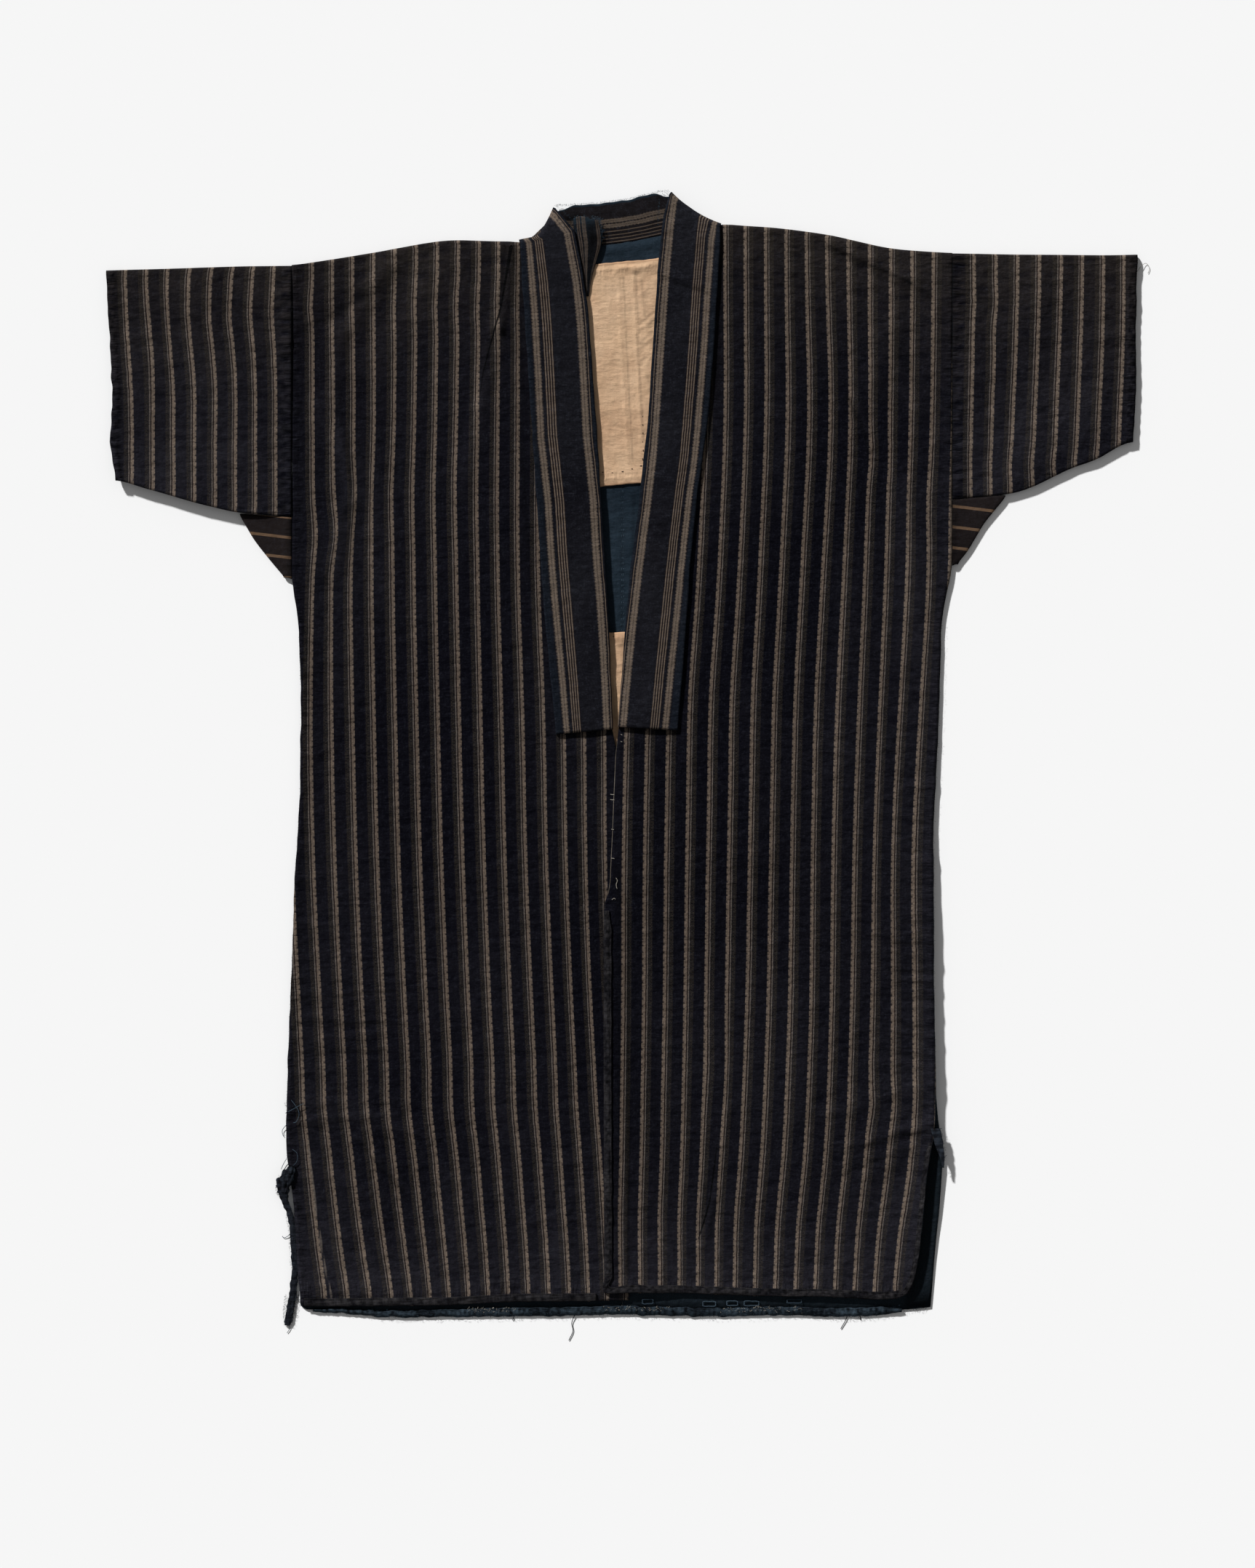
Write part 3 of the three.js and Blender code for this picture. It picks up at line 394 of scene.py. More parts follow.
def sleeveHeight(x, y):
    forms = sleeveForms
    fine = forms["coarse"] * wander(11, x, y, 24, 60) + forms["fine"] * wander(12, x, y, 10, 22)
    ripple = forms["ripple"] * (1 + np.sin(x / 23 - y / 41))
    return frontZ + forms["lift"] + general["loft"] + ripple + fine + foldHeight(sleeveFolds, x, y)


# Which stripe group a point lies in, counted in groups and shares of a group
def stripeNumber(table, x, y):
    for atX, atY, reachX, reachY, push in table["nudges"]:
        x = x - push * np.exp(-((x - atX) / reachX) ** 2 - ((y - atY) / reachY) ** 2)
    lines = []
    for values in table["x"]:
        steps = [np.interp(y + step, table["y"], values) for step in (-50, -25, 0, 25, 50)]
        lines.append(sum(steps) / len(steps))
    number = table["number"]
    result = np.zeros(np.shape(x))
    for k in range(len(lines) - 1):
        here = number[k] + (x - lines[k]) / (lines[k + 1] - lines[k]) * (number[k + 1] - number[k])
        result = here if k == 0 else np.where(x > lines[k], here, result)
    return result


def place(points):
    middleX, middleY = general["middle"]
    moved = np.array(points, float)
    moved[..., 0] -= middleX
    moved[..., 1] -= middleY
    return moved * 0.001


def gridNormals(mid, closed):
    if closed:
        across = np.roll(mid, -1, 1) - np.roll(mid, 1, 1)
    else:
        across = np.gradient(mid, axis=1)
    along = np.gradient(mid, axis=0)
    normal = np.cross(along, across)
    return normal / np.maximum(np.linalg.norm(normal, axis=2, keepdims=True), 1e-9)


# A wall of cloth round a grid of middle points, in mm. uv and each of values cover the grid.
# The first material is on the side that looks up at the grid point faceUp.
def clothPiece(name, mid, thickness, uv, values, materials, faceUp, closed=False):
    rows, columns = mid.shape[:2]
    values = {key: np.broadcast_to(np.asarray(grid, float), (rows, columns))
              for key, grid in values.items()}
    normal = gridNormals(mid, closed)
    if normal[faceUp][2] < 0:
        mid, uv = mid[:, ::-1], uv[:, ::-1]
        values = {key: grid[:, ::-1] for key, grid in values.items()}
        normal = gridNormals(mid, closed)
    outer = mid + normal * (thickness / 2)
    inner = mid - normal * (thickness / 2)
    points = place(np.concatenate([outer.reshape(-1, 3), inner.reshape(-1, 3)]))
    spans = columns if closed else columns - 1
    i, j = np.meshgrid(np.arange(rows - 1), np.arange(spans), indexing="ij")
    i, j = i.ravel(), j.ravel()
    wide = columns + 1 if closed else columns

    def corner(row, column, under):
        vertex = row * columns + column % columns + under * rows * columns
        return vertex, row * wide + column

    def quads(*corners):
        return (np.stack([c[0] for c in corners], 1), np.stack([c[1] for c in corners], 1))

    parts = [
        quads(corner(i, j, 0), corner(i + 1, j, 0), corner(i + 1, j + 1, 0), corner(i, j + 1, 0)),
        quads(corner(i, j, 1), corner(i, j + 1, 1), corner(i + 1, j + 1, 1), corner(i + 1, j, 1)),
    ]
    sides = [0, 1]
    j = np.arange(spans)
    first, last = np.zeros_like(j), np.full_like(j, rows - 1)
    parts.append(quads(corner(first, j, 0), corner(first, j + 1, 0),
                       corner(first, j + 1, 1), corner(first, j, 1)))
    parts.append(quads(corner(last, j, 0), corner(last, j, 1),
                       corner(last, j + 1, 1), corner(last, j + 1, 0)))
    sides += [1, 1]
    if not closed:
        i = np.arange(rows - 1)
        first, last = np.zeros_like(i), np.full_like(i, columns - 1)
        parts.append(quads(corner(i, first, 0), corner(i, first, 1),
                           corner(i + 1, first, 1), corner(i + 1, first, 0)))
        parts.append(quads(corner(i, last, 0), corner(i + 1, last, 0),
                           corner(i + 1, last, 1), corner(i, last, 1)))
        sides += [1, 1]
    faces = np.concatenate([p[0] for p in parts])
    uvIndex = np.concatenate([p[1] for p in parts]).ravel()
    slots = np.concatenate([np.full(len(p[0]), s) for p, s in zip(parts, sides)])

    mesh = bpy.data.meshes.new(name)
    mesh.vertices.add(len(points))
    mesh.vertices.foreach_set("co", points.ravel())
    mesh.loops.add(faces.size)
    mesh.loops.foreach_set("vertex_index", faces.ravel().astype(np.int32))
    mesh.polygons.add(len(faces))
    mesh.polygons.foreach_set("loop_start", np.arange(0, faces.size, 4, dtype=np.int32))
    mesh.polygons.foreach_set("loop_total", np.full(len(faces), 4, dtype=np.int32))
    mesh.update(calc_edges=True)
    mesh.polygons.foreach_set("material_index", slots.astype(np.int32))
    mesh.polygons.foreach_set("use_smooth", np.ones(len(faces), dtype=bool))
    layer = mesh.uv_layers.new(name="cloth")
    layer.data.foreach_set("uv", uv.reshape(-1, 2)[uvIndex].ravel())
    for key, grid in values.items():
        attribute = mesh.attributes.new(key, "FLOAT", "POINT")
        attribute.data.foreach_set("value", np.tile(grid.reshape(-1), 2))
    for material in materials:
        mesh.materials.append(material)
    return addObject(name, mesh)


def lengthAlong(mid, axis):
    step = np.linalg.norm(np.diff(mid, axis=axis), axis=2)
    start = np.zeros_like(np.take(step, [0], axis=axis))
    return np.concatenate([start, np.cumsum(step, axis=axis)], axis=axis)


# Materials

# A colour given as it looks on a screen, from 0 to 255, as Blender's linear values
def tone(red, green, blue):
    def linear(value):
        value /= 255
        return value / 12.92 if value <= 0.04045 else ((value + 0.055) / 1.055) ** 2.4
    return (linear(red), linear(green), linear(blue), 1)


# Short calls for building a node tree from left to right
class Wires:
    def __init__(self, tree):
        self.tree = tree
        self.count = 0

    def node(self, kind, **settings):
        made = self.tree.nodes.new(kind)
        made.location = (self.count % 9 * 190, -(self.count // 9) * 260)
        self.count += 1
        for key, value in settings.items():
            setattr(made, key, value)
        return made

    # A node with some of its inputs fed, each by its name
    def fed(self, kind, inputs, **settings):
        made = self.node(kind, **settings)
        for key, value in inputs.items():
            self.feed(made.inputs[key], value)
        return made

    def feed(self, socket, value):
        if isinstance(value, bpy.types.NodeSocket):
            self.tree.links.new(value, socket)
        else:
            socket.default_value = value

    def math(self, operation, first, second=None, clamp=False):
        made = self.node("ShaderNodeMath", operation=operation, use_clamp=clamp)
        self.feed(made.inputs[0], first)
        if second is not None:
            self.feed(made.inputs[1], second)
        return made.outputs[0]

    def plus(self, first, second, clamp=False):
        return self.math("ADD", first, second, clamp)

    def minus(self, first, second, clamp=False):
        return self.math("SUBTRACT", first, second, clamp)

    def times(self, first, second, clamp=False):
        return self.math("MULTIPLY", first, second, clamp)

    def step(self, value, low, high):
        made = self.node("ShaderNodeMapRange", interpolation_type="SMOOTHSTEP")
        for socket, given in zip((0, 1, 2, 3, 4), (value, low, high, 0.0, 1.0)):
            self.feed(made.inputs[socket], given)
        return made.outputs[0]

    def between(self, value, low, high, soft):
        rise = self.step(value, low - soft, low + soft)
        fall = self.step(value, high - soft, high + soft)
        return self.minus(rise, fall, clamp=True)

    def colour(self, factor, first, second, blend="MIX"):
        made = self.node("ShaderNodeMix", data_type="RGBA", blend_type=blend)
        self.feed(made.inputs[0], factor)
        self.feed(made.inputs[6], first)
        self.feed(made.inputs[7], second)
        return made.outputs[2]

    def noise(self, vector, scale, detail=2.0, roughness=0.5):
        made = self.fed("ShaderNodeTexNoise", {
            "Vector": vector, "Scale": scale, "Detail": detail, "Roughness": roughness})
        return made.outputs["Fac"]

    def vector(self, x, y, z=0.0):
        made = self.node("ShaderNodeCombineXYZ")
        for socket, value in zip(made.inputs, (x, y, z)):
            self.feed(socket, value)
        return made.outputs[0]

    def group(self, tree, **inputs):
        return self.fed("ShaderNodeGroup", inputs, node_tree=tree)

    def attribute(self, name):
        return self.node("ShaderNodeAttribute", attribute_name=name).outputs["Fac"]


def shaderGroup(name, inputs, outputs):
    tree = bpy.data.node_groups.new(name, "ShaderNodeTree")
    for key, kind in inputs.items():
        tree.interface.new_socket(key, in_out="INPUT", socket_type="NodeSocket" + kind)
    for key, kind in outputs.items():
        tree.interface.new_socket(key, in_out="OUTPUT", socket_type="NodeSocket" + kind)
    wires = Wires(tree)
    return tree, wires, wires.node("NodeGroupInput"), wires.node("NodeGroupOutput")


# Uneven hand-spun plain weave: a height for bump and a speckle for the tone
def makeWeave():
    tree, w, given, out = shaderGroup(
        "plainWeave", {"U": "Float", "V": "Float", "Threads": "Float"},
        {"Height": "Float", "Speckle": "Float"})
    u, v, threads = given.outputs["U"], given.outputs["V"], given.outputs["Threads"]
    slub = w.noise(w.vector(w.times(u, 900.0), w.times(v, 60.0)), 1.0)
    weftSlub = w.noise(w.vector(w.times(u, 60.0), w.times(v, 900.0)), 1.0)
    warp = w.math("SINE", w.times(u, threads))
    weft = w.math("SINE", w.times(v, threads))
    over = w.times(warp, weft)
    height = w.plus(over, w.times(w.plus(slub, weftSlub), 1.6))
    grain = w.noise(w.vector(u, v), 620.0, 2.0, 0.7)
    speckle = w.plus(w.times(grain, 1.3), w.times(over, 0.05))
    speckle = w.plus(speckle, w.times(w.plus(slub, weftSlub), 0.45))
    w.feed(out.inputs["Height"], height)
    w.feed(out.inputs["Speckle"], w.minus(speckle, 0.6))
    return tree


# Where the parts of one stripe group lie, in mm from the middle of its wide stripe
stripeParts = {"wide": (-1.56, 1.58), "gap": (-2.6, -1.65), "thin": (-3.75, -2.62), "faint": (-7.9, -4.3)}


# One group of body stripes: faint lines, a thin stripe, a dark gap, a wide notched stripe
def makeStripes():
    tree, w, given, out = shaderGroup(
        "bodyStripes", {"Number": "Float", "V": "Float", "Mirror": "Float"},
        {"Wide": "Float", "Thin": "Float", "Faint": "Float", "Gap": "Float"})
    number, v = given.outputs["Number"], given.outputs["V"]
    whole = w.math("ROUND", number)
    across = w.times(w.minus(number, whole), general["pitch"])
    across = w.times(across, given.outputs["Mirror"])
    drift = w.noise(w.vector(w.times(whole, 7.3), w.times(v, 160.0)), 1.0, 3.0)
    across = w.plus(across, w.times(w.minus(drift, 0.5), 0.9))
    phase = w.noise(w.vector(w.times(whole, 3.1), w.times(v, 9.0)), 1.0)
    tooth = w.math("FRACT", w.plus(w.times(v, 150.0), w.times(phase, 6.0)))
    notch = w.step(tooth, 0.56, 0.94)
    inNotch = w.times(notch, w.step(across, -0.2, 1.0))
    slanted = w.plus(w.times(across, 1.6), w.times(v, 1500.0))
    twill = w.noise(w.vector(slanted, w.times(v, 1100.0)), 1.0, 1.0)
    patchy = w.noise(w.vector(w.times(across, 0.5), w.times(v, 420.0)), 1.0, 2.0)
    body = w.plus(w.times(w.step(twill, 0.36, 0.6), 0.36), 0.5)
    body = w.plus(body, w.times(w.step(patchy, 0.3, 0.66), 0.14))
    rough = w.noise(w.vector(w.times(across, 1.4), w.times(v, 1250.0)), 1.0, 2.0)
    ragged = w.plus(across, w.times(w.minus(rough, 0.5), 0.7))
    wide = w.times(w.between(ragged, *stripeParts["wide"], 0.3), body)
    wide = w.times(wide, w.minus(1.0, w.times(inNotch, 0.86)))
    thin = w.times(w.between(ragged, *stripeParts["thin"], 0.3), body)
    lane = w.math("FLOOR", w.times(across, 1.1))
    beads = w.noise(w.vector(lane, w.times(v, 700.0)), 1.0, 1.0)
    rows = w.math("SINE", w.times(across, 6.9))
    dotted = w.times(w.step(beads, 0.4, 0.56), w.step(rows, -0.1, 0.8))
    faint = w.between(across, *stripeParts["faint"], 0.3)
    faint = w.times(faint, w.plus(dotted, 0.1), clamp=True)
    gaps = w.between(across, *stripeParts["gap"], 0.2)
    for key, value in (("Wide", wide), ("Thin", thin), ("Faint", faint), ("Gap", gaps)):
        w.feed(out.inputs[key], value)
    return tree


# Fine puckers and rubbed patches, in object coordinates. Side and Hem say how much the stitches of
# an upright seam or of a hem draw the cloth up.
def makeWrinkles():
    tree, w, given, out = shaderGroup(
        "wrinkles", {"Position": "Vector", "Side": "Float", "Hem": "Float"},
        {"Height": "Float", "Rub": "Float", "Mottle": "Float", "Relief": "Float"})
    position = given.outputs["Position"]

    def stretched(scale, detail):
        mapping = w.fed("ShaderNodeMapping", {"Vector": position, "Scale": scale})
        return w.noise(mapping.outputs[0], 1.0, detail, 0.55)

    lying = stretched((26.0, 70.0, 26.0), 4.0)
    rounded = w.noise(position, 55.0, 3.0, 0.5)
    crumpled = w.noise(position, 170.0, 2.0, 0.5)
    creased = w.math("ABSOLUTE", w.minus(stretched((34.0, 92.0, 30.0), 3.0), 0.5))
    ridged = w.minus(1.0, w.times(creased, 5.0), clamp=True)
    # Relief marks the ridges of the wrinkles, which the striped cloth paints lighter as a highlight
    w.feed(out.inputs["Relief"], w.plus(w.times(ridged, 0.6), w.times(rounded, 0.4)))
    height = w.plus(lying, w.times(rounded, 0.8))
    height = w.plus(height, w.times(ridged, 0.22))
    height = w.plus(height, w.times(crumpled, 0.42))
    side = w.times(stretched((45.0, 210.0, 30.0), 2.0), given.outputs["Side"])
    hem = w.times(stretched((210.0, 45.0, 30.0), 2.0), given.outputs["Hem"])
    w.feed(out.inputs["Height"], w.plus(height, w.times(w.plus(side, hem), 1.6)))
    rub = w.noise(position, 9.0, 4.0, 0.6)
    w.feed(out.inputs["Rub"], w.step(rub, 0.35, 0.7))
    w.feed(out.inputs["Mottle"], w.noise(position, 210.0, 4.0, 0.65))
    return tree


weaveGroup = makeWeave()
stripeGroup = makeStripes()
wrinkleGroup = makeWrinkles()


def startMaterial(name):
    material = bpy.data.materials.new(name)
    material.use_nodes = True
    tree = material.node_tree
    tree.nodes.clear()
    wires = Wires(tree)
    output = wires.node("ShaderNodeOutputMaterial")
    shader = wires.node("ShaderNodeBsdfPrincipled")
    shader.inputs["Roughness"].default_value = 0.92
    shader.inputs["Specular IOR Level"].default_value = 0.06
    tree.links.new(shader.outputs[0], output.inputs[0])
    uv = wires.node("ShaderNodeUVMap", uv_map="cloth")
    split = wires.node("ShaderNodeSeparateXYZ")
    wires.feed(split.inputs[0], uv.outputs[0])
    coordinates = wires.node("ShaderNodeTexCoord")
    return (material, wires, shader, split.outputs[0], split.outputs[1],
            coordinates.outputs["Object"], wires.attribute("wearAndHighlight"))


fleckTone = tone(43, 45, 52)


def finishMaterial(w, shader, colour, u, v, position, weaveDepth=0.00014, wrinkleDepth=0.0026,
                   threads=9500.0, grain=0.5, mottle=0.6, fleck=0.36):
    marks = {name: w.attribute(name) for name in ("shade", "sidePucker", "hemPucker")}
    weave = w.group(weaveGroup, U=u, V=v, Threads=threads)
    wrinkles = w.group(wrinkleGroup, Position=position, Side=marks["sidePucker"], Hem=marks["hemPucker"])
    fine = w.times(w.minus(weave.outputs["Speckle"], 0.5), grain)
    broad = w.times(w.minus(wrinkles.outputs["Mottle"], 0.5), mottle)
    light = w.math("MAXIMUM", w.plus(w.plus(fine, broad), 1.0), 0.25)
    # The shade attribute is painted shade: it darkens the colour in folds, hollows, grooves and gathers,
    # and along a few seam lines
    light = w.times(light, w.minus(1.0, w.times(marks["shade"], 0.85)))
    flecks = w.times(w.minus(weave.outputs["Speckle"], 0.5), 2.0)
    flecks = w.plus(flecks, w.times(w.minus(wrinkles.outputs["Mottle"], 0.5), 2.4), clamp=True)
    colour = w.colour(w.times(flecks, fleck), colour, fleckTone)
    colour = w.colour(1.0, colour, w.vector(light, light, light), "MULTIPLY")
    w.feed(shader.inputs["Base Color"], colour)
    first = w.fed("ShaderNodeBump", {
        "Strength": 1.0, "Distance": wrinkleDepth, "Height": wrinkles.outputs["Height"]})
    second = w.fed("ShaderNodeBump", {
        "Strength": 0.8, "Distance": weaveDepth, "Height": weave.outputs["Height"],
        "Normal": first.outputs[0]})
    w.feed(shader.inputs["Normal"], second.outputs[0])


stripedTones = {
    "ground": tone(4, 4, 12),
    "worn": tone(30, 29, 35),
    "wornTop": tone(35, 31, 30),
    "wide": tone(106, 93, 82),
    "thin": tone(102, 94, 87),
    "faint": tone(60, 54, 45),
    "wideWorn": tone(131, 117, 104),
    "gap": tone(22, 11, 10),
    "creaseShadow": (0.0005, 0.0005, 0.0007, 1),
}


def stripedCotton(name, mirror):
    material, w, shader, u, v, position, wearAndHighlight = startMaterial(name)
    number = w.math("DIVIDE", u, general["pitch"] * 0.001)
    stripes = w.group(stripeGroup, Number=number, V=v, Mirror=mirror)
    wrinkles = w.group(wrinkleGroup, Position=position, Side=0.0, Hem=0.0)
    rub = wrinkles.outputs["Rub"]
    split = w.node("ShaderNodeSeparateXYZ")
    w.feed(split.inputs[0], position)
    high = w.step(split.outputs[1], 0.28, 0.5)
    # Painted highlight: the ridges of the fine wrinkles lighten the cloth towards the worn tone
    ridgeHighlight = w.times(w.minus(wrinkles.outputs["Relief"], 0.38), 1.5)
    worn = w.times(wearAndHighlight, w.plus(w.times(rub, 0.4), 0.65))
    worn = w.plus(worn, w.times(ridgeHighlight, w.plus(w.times(wearAndHighlight, 0.8), 0.1)), clamp=True)
    colour = w.colour(high, stripedTones["worn"], stripedTones["wornTop"])
    colour = w.colour(worn, stripedTones["ground"], colour)
    for part, strength, toneName in (("Faint", 0.85, "faint"), ("Gap", 0.8, "gap"), ("Thin", 0.88, "thin")):
        colour = w.colour(w.times(stripes.outputs[part], strength), colour, stripedTones[toneName])
    wide = w.colour(w.times(worn, 0.7), stripedTones["wide"], stripedTones["wideWorn"])
    colour = w.colour(w.times(stripes.outputs["Wide"], 0.96), colour, wide)
    near = w.attribute("lineNear")
    colour = w.colour(w.times(w.step(near, 0.82, 0.9), 0.55), colour, stripedTones["thin"])
    # A near-black painted shadow line down the sharp crease of each front
    aside, half = w.attribute("creaseAside"), w.attribute("creaseHalf")
    crease = w.step(w.minus(half, w.math("ABSOLUTE", aside)), 0.0, 0.4)
    colour = w.colour(w.times(crease, 0.92), colour, stripedTones["creaseShadow"])
    finishMaterial(w, shader, colour, u, v, position, wrinkleDepth=0.0034, grain=0.65, fleck=0.28)
    return material


# One colour of cloth that turns to edgeTone where it is worn, and where a highlight is painted on it
def plainCotton(name, tones, edgeTone, **depths):
    material, w, shader, u, v, position, wearAndHighlight = startMaterial(name)
    rub = w.group(wrinkleGroup, Position=position, Side=0.0, Hem=0.0).outputs["Rub"]
    colour = w.colour(rub, tones[0], tones[1])
    colour = w.colour(wearAndHighlight, colour, edgeTone)
    finishMaterial(w, shader, colour, u, v, position, **depths)
    return material


# The collar cloth. U runs from 0 to 1 across it, and bands, lines and edges are shares of that.
# Each band is two rows of soft teeth with a dotted line between them.
def bandedCotton(name, bands, lines, edges, tones, lineTone=0.8):
    material, w, shader, u, v, position, wearAndHighlight = startMaterial(name)
    rub = w.group(wrinkleGroup, Position=position, Side=0.0, Hem=0.0).outputs["Rub"]
    worn = w.plus(w.times(rub, 0.4), w.times(wearAndHighlight, 0.6), clamp=True)
    colour = w.colour(worn, tones["ground"], tones["worn"])
    drift = w.noise(w.vector(0.0, w.times(v, 120.0)), 1.0, 3.0)
    across = w.plus(u, w.times(w.minus(drift, 0.5), 0.012))
    ragged = w.noise(w.vector(w.times(u, 40.0), w.times(v, 900.0)), 1.0, 3.0, 0.6)
    for low, high in edges:
        edge = w.times(w.between(across, low, high, 0.02), w.times(ragged, 1.3), clamp=True)
        colour = w.colour(edge, colour, tones["edge"])
    tooth = w.math("PINGPONG", w.times(v, 620.0), 1.0)
    for low, high in bands:
        fromMiddle = w.math("ABSOLUTE", w.minus(across, (low + high) / 2))
        reach = w.plus(w.times(tooth, -0.012), (high - low) / 2)
        reach = w.plus(reach, w.times(w.minus(ragged, 0.5), 0.03))
        band = w.minus(1.0, w.step(w.minus(fromMiddle, reach), -0.018, 0.018))
        dots = w.step(w.math("SINE", w.times(v, 3900.0)), -1.3, 0.6)
        line = w.times(w.minus(1.0, w.step(fromMiddle, 0.004, 0.016)), dots)
        band = w.times(band, w.minus(1.0, w.times(line, 0.62)))
        band = w.times(band, w.plus(w.times(ragged, 1.1), 0.25), clamp=True)
        colour = w.colour(w.times(band, 0.9), colour, tones["tan"])
    for centre, half in lines:
        dark = w.between(across, centre - half - 0.012, centre + half + 0.012, 0.008)
        colour = w.colour(w.times(dark, 0.6), colour, tones["gap"])
        line = w.between(across, centre - half, centre + half, 0.006)
        line = w.times(line, w.plus(w.times(ragged, 0.7), 0.5), clamp=True)
        colour = w.colour(w.times(line, lineTone), colour, tones["tan"])
    finishMaterial(w, shader, colour, w.times(u, 0.057), v, position, fleck=0.5)
    return material


collarTones = {
    "ground": tone(13, 13, 19),
    "worn": tone(33, 33, 38),
    "edge": tone(17, 24, 33),
    "tan": tone(120, 106, 93),
    "gap": tone(22, 12, 12),
}
collarInnerTones = dict(collarTones, ground=tone(12, 10, 12), worn=tone(28, 25, 27),
                        edge=tone(30, 46, 57), tan=tone(100, 88, 77))
rightCotton = stripedCotton("stripedCottonRight", 1.0)
leftCotton = stripedCotton("stripedCottonLeft", -1.0)
gussetStripes = bandedCotton(
    "gussetCotton", [], [(0.24, 0.07), (1.24, 0.07), (2.24, 0.07), (3.24, 0.07)], [],
    {"ground": tone(26, 21, 22), "worn": tone(42, 36, 35), "edge": tone(40, 40, 44),
     "tan": tone(134, 107, 84), "gap": tone(14, 10, 10)})
liningCotton = plainCotton("indigoLining", (tone(22, 32, 41), tone(33, 45, 55)), tone(38, 50, 60))
insideCotton = plainCotton("insideCotton", (tone(25, 33, 41), tone(34, 43, 52)), tone(38, 48, 56))
edgeCotton = plainCotton("turnedEdge", (tone(16, 15, 19), tone(29, 28, 31)), tone(52, 50, 51))
hemCotton = plainCotton("wornHem", (tone(13, 17, 22), tone(27, 34, 41)), tone(58, 71, 81))
darkCotton = plainCotton("darkFrayedCotton", (tone(15, 16, 21), tone(29, 31, 37)), tone(50, 57, 66))
patchCotton = plainCotton(
    "undyedCotton", (tone(200, 166, 133), tone(214, 182, 150)), tone(170, 132, 103),
    weaveDepth=0.0001, wrinkleDepth=0.0015, grain=0.18, mottle=0.36, fleck=0.0)
collarOuter = bandedCotton(
    "collarOuter", [(0.108, 0.212), (0.805, 0.915)],
    [(0.28, 0.009), (0.32, 0.009), (0.36, 0.009), (0.40, 0.009), (0.945, 0.006)],
    [(-0.15, 0.085), (0.965, 1.1)], collarTones)
collarInner = bandedCotton(
    "collarInner", [(0.38, 0.48), (0.50, 0.60)],
    [(0.05, 0.012), (0.13, 0.012), (0.21, 0.012), (0.30, 0.012)], [(0.95, 1.1)], collarInnerTones, 0.7)
darkThread = plainCotton("darkThread", (tone(40, 32, 30), tone(52, 44, 40)), tone(52, 44, 40))
paleThread = plainCotton("paleThread", (tone(150, 144, 134), tone(176, 170, 158)), tone(176, 170, 158))
blueThread = plainCotton("blueThread", (tone(46, 58, 70), tone(74, 90, 102)), tone(84, 98, 110))
seamThread = plainCotton("seamThread", (tone(92, 84, 76), tone(150, 142, 130)), tone(150, 142, 130))
fuzzThread = plainCotton("fuzzThread", (tone(26, 36, 45), tone(58, 76, 88)), tone(58, 76, 88))
print("materials ready")


# Body

bodySettings = {
    "columns": 108, "backRows": 44, "turnRows": 6, "foldSteps": 8, "frontRows": 340,
    "edgeNoise": 0.45, "hemNoise": 0.6, "hemY": -505,
    "shoulderStripes": 453,     # mm, the height whose stripes go on over the shoulder and down the back
    "firstStripe": -0.55,       # the stripe number below which the cloth has no stripe
    "firstStripeHigh": 0.42,    # the same on the upper right front
}


# How worn the body is, from 0 to 1, with a painted highlight on the ridges of its folds: the strength of
# each kind and its reach in mm
wearAndHighlightSettings = {
    "hem": 0.85, "hemReach": 80,
    "top": 0.55, "topReach": 60,
    "edge": {-1: 0.12, 1: 0.5}, "edgeReach": 35,
    "ridgeHighlight": 0.16,
    "all": 0.06, "clouds": 0.18,
}


def wearAndHighlightAt(side, x, y, hemY):
    much = wearAndHighlightSettings
    fromTop = np.maximum(0, read(topEdge, "x", x, "y") - y)
    fromEdge = np.abs(read(sideEdge[side], "y", y, "front") - x)
    hem = np.exp(-np.maximum(0, y - hemY) / much["hemReach"]) * much["hem"]
    top = np.exp(-fromTop / much["topReach"]) * much["top"]
    edge = np.exp(-fromEdge / much["edgeReach"]) * much["edge"][side]
    # Painted highlight: the ridges of the folds are made lighter
    ridgeHighlight = np.clip(foldHeight(bodyFolds, x, y), 0, 3) * much["ridgeHighlight"]
    cloud = much["all"] + much["clouds"] * wander(21 + side, x, y, 150, 420)
    return np.clip(hem + top + edge + ridgeHighlight + cloud, 0, 1)


# A second, brownish stripe that runs out by the torn slit
spareStripe = {"y": [-510, -499, -472, -431, -390, -363, -340],
               "x": [-269.5, -272, -278, -284.2, -289, -293, -296], "reach": 8, "low": -511, "high": -352}


def nearSpareStripe(x, y):
    away = np.abs(x - np.interp(y, spareStripe["y"], spareStripe["x"]))
    shown = (y > spareStripe["low"]) * (y < spareStripe["high"])
    return np.clip(1 - away / spareStripe["reach"], 0, 1) * shown


# The painted shadow line in the one sharp crease of each front, as a line down the cloth and its half width
# in mm
creaseShadowLine = {
    -1: {"y": [330, 363, 386, 408, 426, 453, 480, 492],
         "x": [-134, -129.5, -123.6, -117, -112.5, -108, -103.5, -102],
         "halfWidth": [0, 0.7, 0.9, 1.0, 1.1, 1.3, 1.7, 1.8]},
    1: {"y": [-452, -444, -430, -412, -390, -366, -330], "x": [70, 72.5, 77, 82, 85, 88, 93],
        "halfWidth": [0, 0.8, 1.0, 1.0, 0.9, 0.6, 0]},
}


# Where the stitches of the armhole, the side seam and the hem draw the cloth up
def puckersAt(side, x, y, hemY):
    away = np.abs(read(sideEdge[side], "y", y, "front") - x)
    seam = np.exp(-((away / 9) ** 2)) * 0.55 + np.exp(-((away - 3) / 3) ** 2) * 0.3
    hem = np.exp(-(((y - hemY - 9) / 8) ** 2)) * 0.8
    return seam, hem


# How much painted shade short uneven gathers hold, strongest where away is 0
def gathers(seed, x, y, longest, away, reach):
    rough = np.clip(wander(seed, x * 0.35, y, 5, longest, 12), 0, 1)
    return rough * np.exp(-((away / reach) ** 2))


